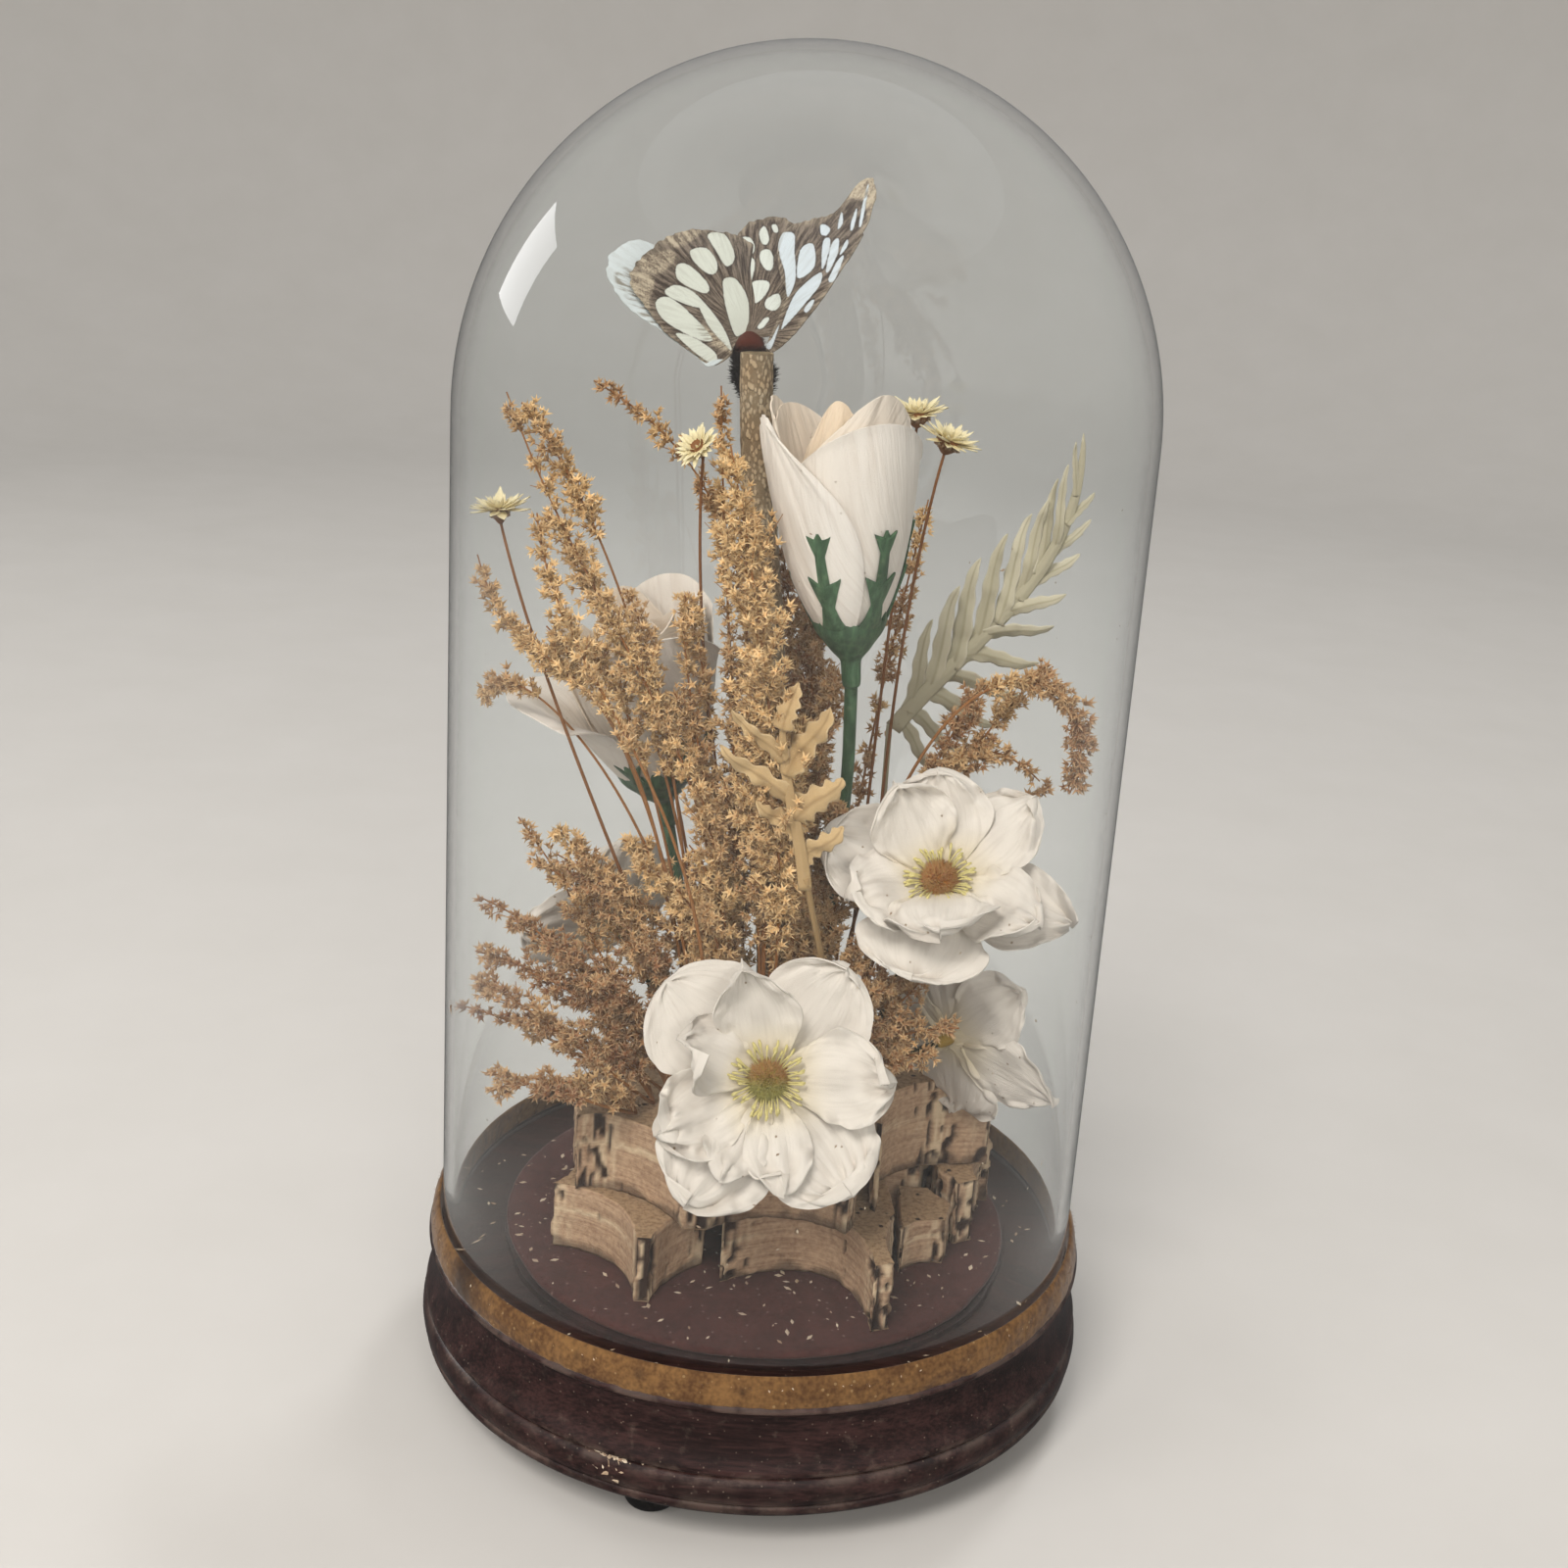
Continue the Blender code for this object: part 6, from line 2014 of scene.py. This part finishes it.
def anemones() -> list[Anemone]:
    """The four cloth flowers."""
    return [
        Anemone("anemone_front", (1, -49, 107), (0.0, -0.895, 0.446), (
            (ClothPetal(140, 34.5, 17.5, 4, 6, 0.15, 0, 0.7, 0.4),
             ClothPetal(58, 34, 15, 2, 14, 0.2, 0, 1.4, 0.8, 0.03, 1.5),
             ClothPetal(-50, 34.5, 15.5, 2, 6, 0.0, 7, 1.2, 0.3, 0.12),
             ClothPetal(-120, 36, 15.5, 0, 6, 0.0, 5, 1.2, 0.3, 0.08, -1.5)),
            (ClothPetal(100, 33, 14, 24, 26, 1.0, 0, 1.6, 3.5, 0.0, 0.0, 3.0),
             ClothPetal(160, 26, 11, 22, 30, 0.3, 0, 2.6, 1.5, 0.05, 4.0),
             ClothPetal(8, 31, 13, 12, 0, 0.3, 0, 2.8, 1.2, 0.08, 3.0, -3.0),
             ClothPetal(-78, 28, 9, 8, 0, 0.0, 3, 2.4, 0.3, 0.2),
             ClothPetal(-112, 27, 9, 10, 0, 0.2, 3, 2.4, 0.3, 0.16),
             ClothPetal(-150, 30, 12, 10, 2, 0.1, 4, 3.0, 0.4, 0.18, -2.0))),
            ((3, -38, 98), (5, -31, 90), (6, -27, CORK_TOP)), 5.6),
        Anemone("anemone_right", (40, -27, 152), (-0.12, -0.72, 0.68), (
            (ClothPetal(92, 29, 15, 30, 4, 0.4, 0, 2.2, 0.8, 0.06),
             ClothPetal(160, 32, 14, 8, 8, 0.2, 4, 1.8, 0.5, 0.08),
             ClothPetal(256, 26, 17, 6, -22, 0.0, 0, 2.0, 0.4, 0.06),
             ClothPetal(342, 33, 14, 4, -14, 0.8, 0, 2.0, 0.8, 0.0, 3.0)),
            (ClothPetal(40, 32, 13, 14, 4, 0.6, 0, 2.6, 1.0, 0.08, -2.0),
             ClothPetal(120, 28, 13, 36, 14, 0.6, 0, 2.2, 1.6, 0.04),
             ClothPetal(200, 25, 12, 26, 0, 0.1, 3, 2.6, 0.6, 0.12, 2.0),
             ClothPetal(272, 24, 15, 50, -40, 0.1, 0, 2.6, 0.8, 0.1, 2.0),
             ClothPetal(330, 29, 12, 24, -24, 0.4, 0, 2.8, 1.0, 0.06, -2.0))),
            ((39, -20, 143), (33, -10, 120), (23, -9, CORK_TOP)), 5.2, 0.9),
        Anemone("anemone_low_right", (47, -16, 106), (0.66, 0.70, 0.10), (
            (ClothPetal(12, 32, 13, 8, 6, 0.8, 0, 1.6, 0.6, 0.0, 2.0),
             ClothPetal(92, 27, 17, 10, 10, 0.1, 0, 1.6, 0.6, 0.05),
             ClothPetal(172, 25, 14, 8, 8, 0.1, 4, 1.6, 0.6, 0.08),
             ClothPetal(240, 26, 13, 8, 8, 0.1, 4, 1.8, 0.6, 0.1),
             ClothPetal(310, 28, 12, 6, 8, 0.6, 0, 2.0, 0.6, 0.06)),),
            ((38, -14, 100), (30, -13, 94), (22, -19, CORK_TOP)), 4.0, 0.3, 0.6),
        Anemone("anemone_back", (-45, 27, 114), (-0.62, 0.62, 0.48), (
            tuple(ClothPetal(turn, 27, 16, 10, 16, 0.0, pleats, 1.2, 1.0, notch)
                  for turn, pleats, notch in ((20, 4, 0.05), (110, 0, 0.0), (200, 4, 0.05),
                                              (290, 0, 0.0))),),
            ((-34, 16, 104), (-30, 13, 96), (-28, 12, CORK_TOP)), 5.0, 0.3, 0.8)]


def daisies() -> list[Daisy]:
    """The four dried daisies."""
    return [
        Daisy("daisy_left", ((-20, 4, CORK_TOP), (-30, -20, 130), (-58, -26, 190),
                             (-73, -6, 231)), (-0.1, 0.0, 1.0), 1.0, 1),
        Daisy("daisy_right_high", ((20, 10, CORK_TOP), (22, 17, 130), (24, 16, 200),
                                   (28, 20, 257)), (-0.1, -0.1, 0.98), 1.5, 2),
        Daisy("daisy_right_low", ((24, 8, CORK_TOP), (27, 12, 130), (24, 12, 200),
                                  (35, 12, 252)), (0.3, -0.1, 0.94), 1.5, 3),
        Daisy("daisy_top", ((-4, 14, CORK_TOP), (-14, 12, 130), (-26, -4, 210),
                            (-24, -9, 251)), (-0.5, -0.6, 0.6), 1.0, 4, 4.6)]


def ferns() -> list[FernFrond]:
    """The right frond and the cream leaves in the centre."""
    return [
        FernFrond("fern_right", ((28, 178), (47, 205), (74, 222), (70, 258)), (
            (0.02, 40, 168, 2.3), (0.06, 36, 208, 2.5), (0.06, 46, 173, 2.4), (0.14, 42, 218, 2.9),
            (0.13, 55, 181, 2.7), (0.23, 47, 225, 2.9), (0.2, 62, 189, 2.7), (0.32, 53, 232, 2.7),
            (0.28, 65, 198, 2.6), (0.41, 59, 237, 2.4), (0.36, 68, 208, 2.4), (0.5, 63, 241, 2.1),
            (0.45, 70, 217, 2.1), (0.59, 65, 246, 1.8), (0.55, 73, 227, 1.9), (0.68, 67, 250, 1.5),
            (0.65, 75, 236, 1.5), (0.76, 75, 243, 1.3), (0.84, 68, 256, 1.0)), 2.2, 17,
            ((26, 14, CORK_TOP), (27, 16, 130), (27, 17, 179))),
        FernFrond("fern_centre", ((7, 152), (5, 168), (-1, 180), (-1, 196)), (
            (0.16, 15, 168, 3.0), (0.3, -6, 174, 2.4), (0.4, 14, 180, 4.0), (0.5, -15, 188, 2.8),
            (0.66, 10, 198, 3.6), (0.74, -13, 196, 2.4), (0.92, 2, 203, 2.8)), 1.6, -37,
            ((14, -22, CORK_TOP), (13, -27, 128), (7, -37, 155)), 2.4, 1.4)]


def dress_flowers() -> None:
    """Makes the flowers, the sprays, the ferns and the crumbs with their finishes."""
    rose = PetalCloth("rose cloth", "#e1dbd3", "#dfccb3", "#a8927d", 0.5).mixed()
    white = PetalCloth("white cloth", "#dcd6cf", "#d6c8a8", "#978b7e", 0.9).mixed()
    green = MouldedGreen().mixed()
    fur = DriedPlant("stamens", "#7b7d35", "#c9ba62", "#a1541f", "#e2d7a6").mixed()
    wire = DriedPlant("flower wire", "#34341f", "#55512f", "#3f3520", "#55512f").mixed()
    daisy = DriedPlant("dried daisy", "#c4b07a", "#ece2b8", "#7c5230", "#f3ecd0").mixed()
    grass = DriedPlant("dried grass", "#87622f", "#f2cc94", "#85502f", "#f6dfb2").mixed()
    fern = DriedPlant("bleached fern", "#a39c82", "#d0cab4", "#918a6e", "#ddd7c6").mixed()
    cream = DriedPlant("cream leaves", "#a08358", "#d0b488", "#866a45", "#dcc59e").mixed()
    crumb = DriedPlant("fallen flakes", "#9b8268", "#ddd0ba", "#6d5040", "#ddd0ba").mixed()
    for flower in roses():
        flower.build(rose, green)
    for flower in anemones():
        flower.build(white, fur, wire)
    for flower in daisies():
        flower.build(daisy)
    for spray in sprays():
        spray.build(grass)
    for frond, finish in zip(ferns(), (fern, cream)):
        frond.build(finish)
    Crumbs().build(crumb)


# ---------------------------------------------------------------- studio

@dataclass
class Studio:
    """Floor, soft lights and the camera at the photograph's angle.

    A lamp is (name, place, size, watts, colour, whether the glass mirrors it).
    """

    camera_at: Point = (0.0, -0.4854, 0.3260)
    look_at: Point = (0.0003, 0.0, 0.1662)
    roll: float = 0.0648
    lens: float = 45.72
    sensor: float = 36.0
    lamps: tuple[tuple[str, Point, float, float, str, bool], ...] = (
        ("key_lamp", (-0.42, -1.0, 1.3), 0.5, 17.0, "#fff9f3", False),
        ("fill_lamp", (0.3, -1.35, 0.75), 0.7, 8.0, "#fffaf5", False),
        ("left_lamp", (-1.1, -0.8, 0.5), 0.6, 5.0, "#fffaf5", False),
        ("back_lamp", (0.5, 0.9, 1.6), 0.3, 7.0, "#ffffff", False),
        ("side_lamp", (-1.15, 0.6, 0.7), 0.4, 2.0, "#ffffff", True))
    lamp_aim: Point = (0, 0, 0.17)
    floor_flat: Outline = ((600.0, 0.0), (1500.0, 0.0))
    floor_bend: float = 700.0
    wall_top: float = 2600.0

    def floor(self) -> None:
        """A round floor, rings round a pole, whose edge sweeps up into the backdrop."""
        edge, bend = self.floor_flat[-1][0], self.floor_bend
        turn = np.linspace(0, math.pi / 2, 14)[1:]
        rings = np.vstack([self.floor_flat,
                           together(edge + bend * np.sin(turn), bend - bend * np.cos(turn)),
                           [(edge + bend, self.wall_top)]])
        j, k = around(96)
        points = polar(rings[:, :1], j * TAU / len(j), rings[:, 1:]).reshape(-1, 3)
        faces = [quads(len(rings), len(j), True)[:, ::-1], together(len(points), j, k)]
        mesh = Shape.of(np.vstack([points, np.zeros(3)]), faces).mesh("studio_floor", True, 0.0)
        mesh.materials.append(StudioFloor().mixed())
        piece = put("studio_floor", mesh)
        piece.visible_glossy = False

    def lamp(self, name: str, at: Point, size: float, watts: float, warmth: str,
             mirrored: bool) -> None:
        """One soft square lamp aimed at the display, and whether the glass mirrors it."""
        light = bpy.data.lights.new(name, "AREA")
        light.shape, light.size, light.energy = "SQUARE", size, watts
        light.color = linear(warmth)[:3]
        lamp = put(name, light)
        lamp.location = at
        lamp.rotation_mode = "QUATERNION"
        lamp.visible_glossy, lamp.visible_transmission = mirrored, False
        lamp.rotation_quaternion = (Vector(self.lamp_aim) - Vector(at)).to_track_quat("-Z", "Y")

    def camera(self) -> None:
        """The camera, rolled a little about its own axis."""
        at, to = Vector(self.camera_at), Vector(self.look_at)
        forward = (to - at).normalized()
        level = forward.cross(Vector((0, 0, 1))).normalized()
        up = level.cross(forward)
        cos, sin = math.cos(self.roll), math.sin(self.roll)
        axes = Matrix((level * cos + up * sin, up * cos - level * sin, -forward)).transposed()
        data = bpy.data.cameras.new("camera")
        data.lens, data.sensor_width = self.lens, self.sensor
        data.clip_start, data.clip_end = 0.01, 20.0
        camera = put("camera", data)
        camera.matrix_world = Matrix.Translation(at) @ axes.to_4x4()
        bpy.context.scene.camera = camera

    def sky(self) -> None:
        """A pale sky whose light grows from below the display to its zenith."""
        world = bpy.data.worlds.new("studio")
        world.use_nodes = True
        tree = world.node_tree
        sky = tree.nodes["Background"]
        sky.inputs["Color"].default_value = linear("#f4f3f1")
        split, glow = (tree.nodes.new(f"ShaderNode{kind}") for kind in ("SeparateXYZ", "MapRange"))
        for key, value in {"From Min": -0.1, "To Min": 0.12, "To Max": 0.8}.items():
            glow.inputs[key].default_value = value
        way = tree.nodes.new("ShaderNodeTexCoord")
        tree.links.new(way.outputs["Generated"], split.inputs[0])
        tree.links.new(split.outputs["Z"], glow.inputs["Value"])
        tree.links.new(glow.outputs[0], sky.inputs["Strength"])
        bpy.context.scene.world = world

    def build(self) -> None:
        """Makes the studio."""
        self.floor()
        self.camera()
        for lamp in self.lamps:
            self.lamp(*lamp)
        self.sky()
        bpy.context.scene.view_settings.view_transform = "Standard"


def main() -> None:
    """Builds the display piece by piece."""
    logging.basicConfig(level=logging.INFO, format="%(message)s")
    Studio().build()
    TurnedBase().build()
    VelvetTrim().build()
    CorkStack().build()
    Twig().build()
    Butterfly().build()
    dress_flowers()
    GlassDome().build()


if __name__ == "__main__":
    main()
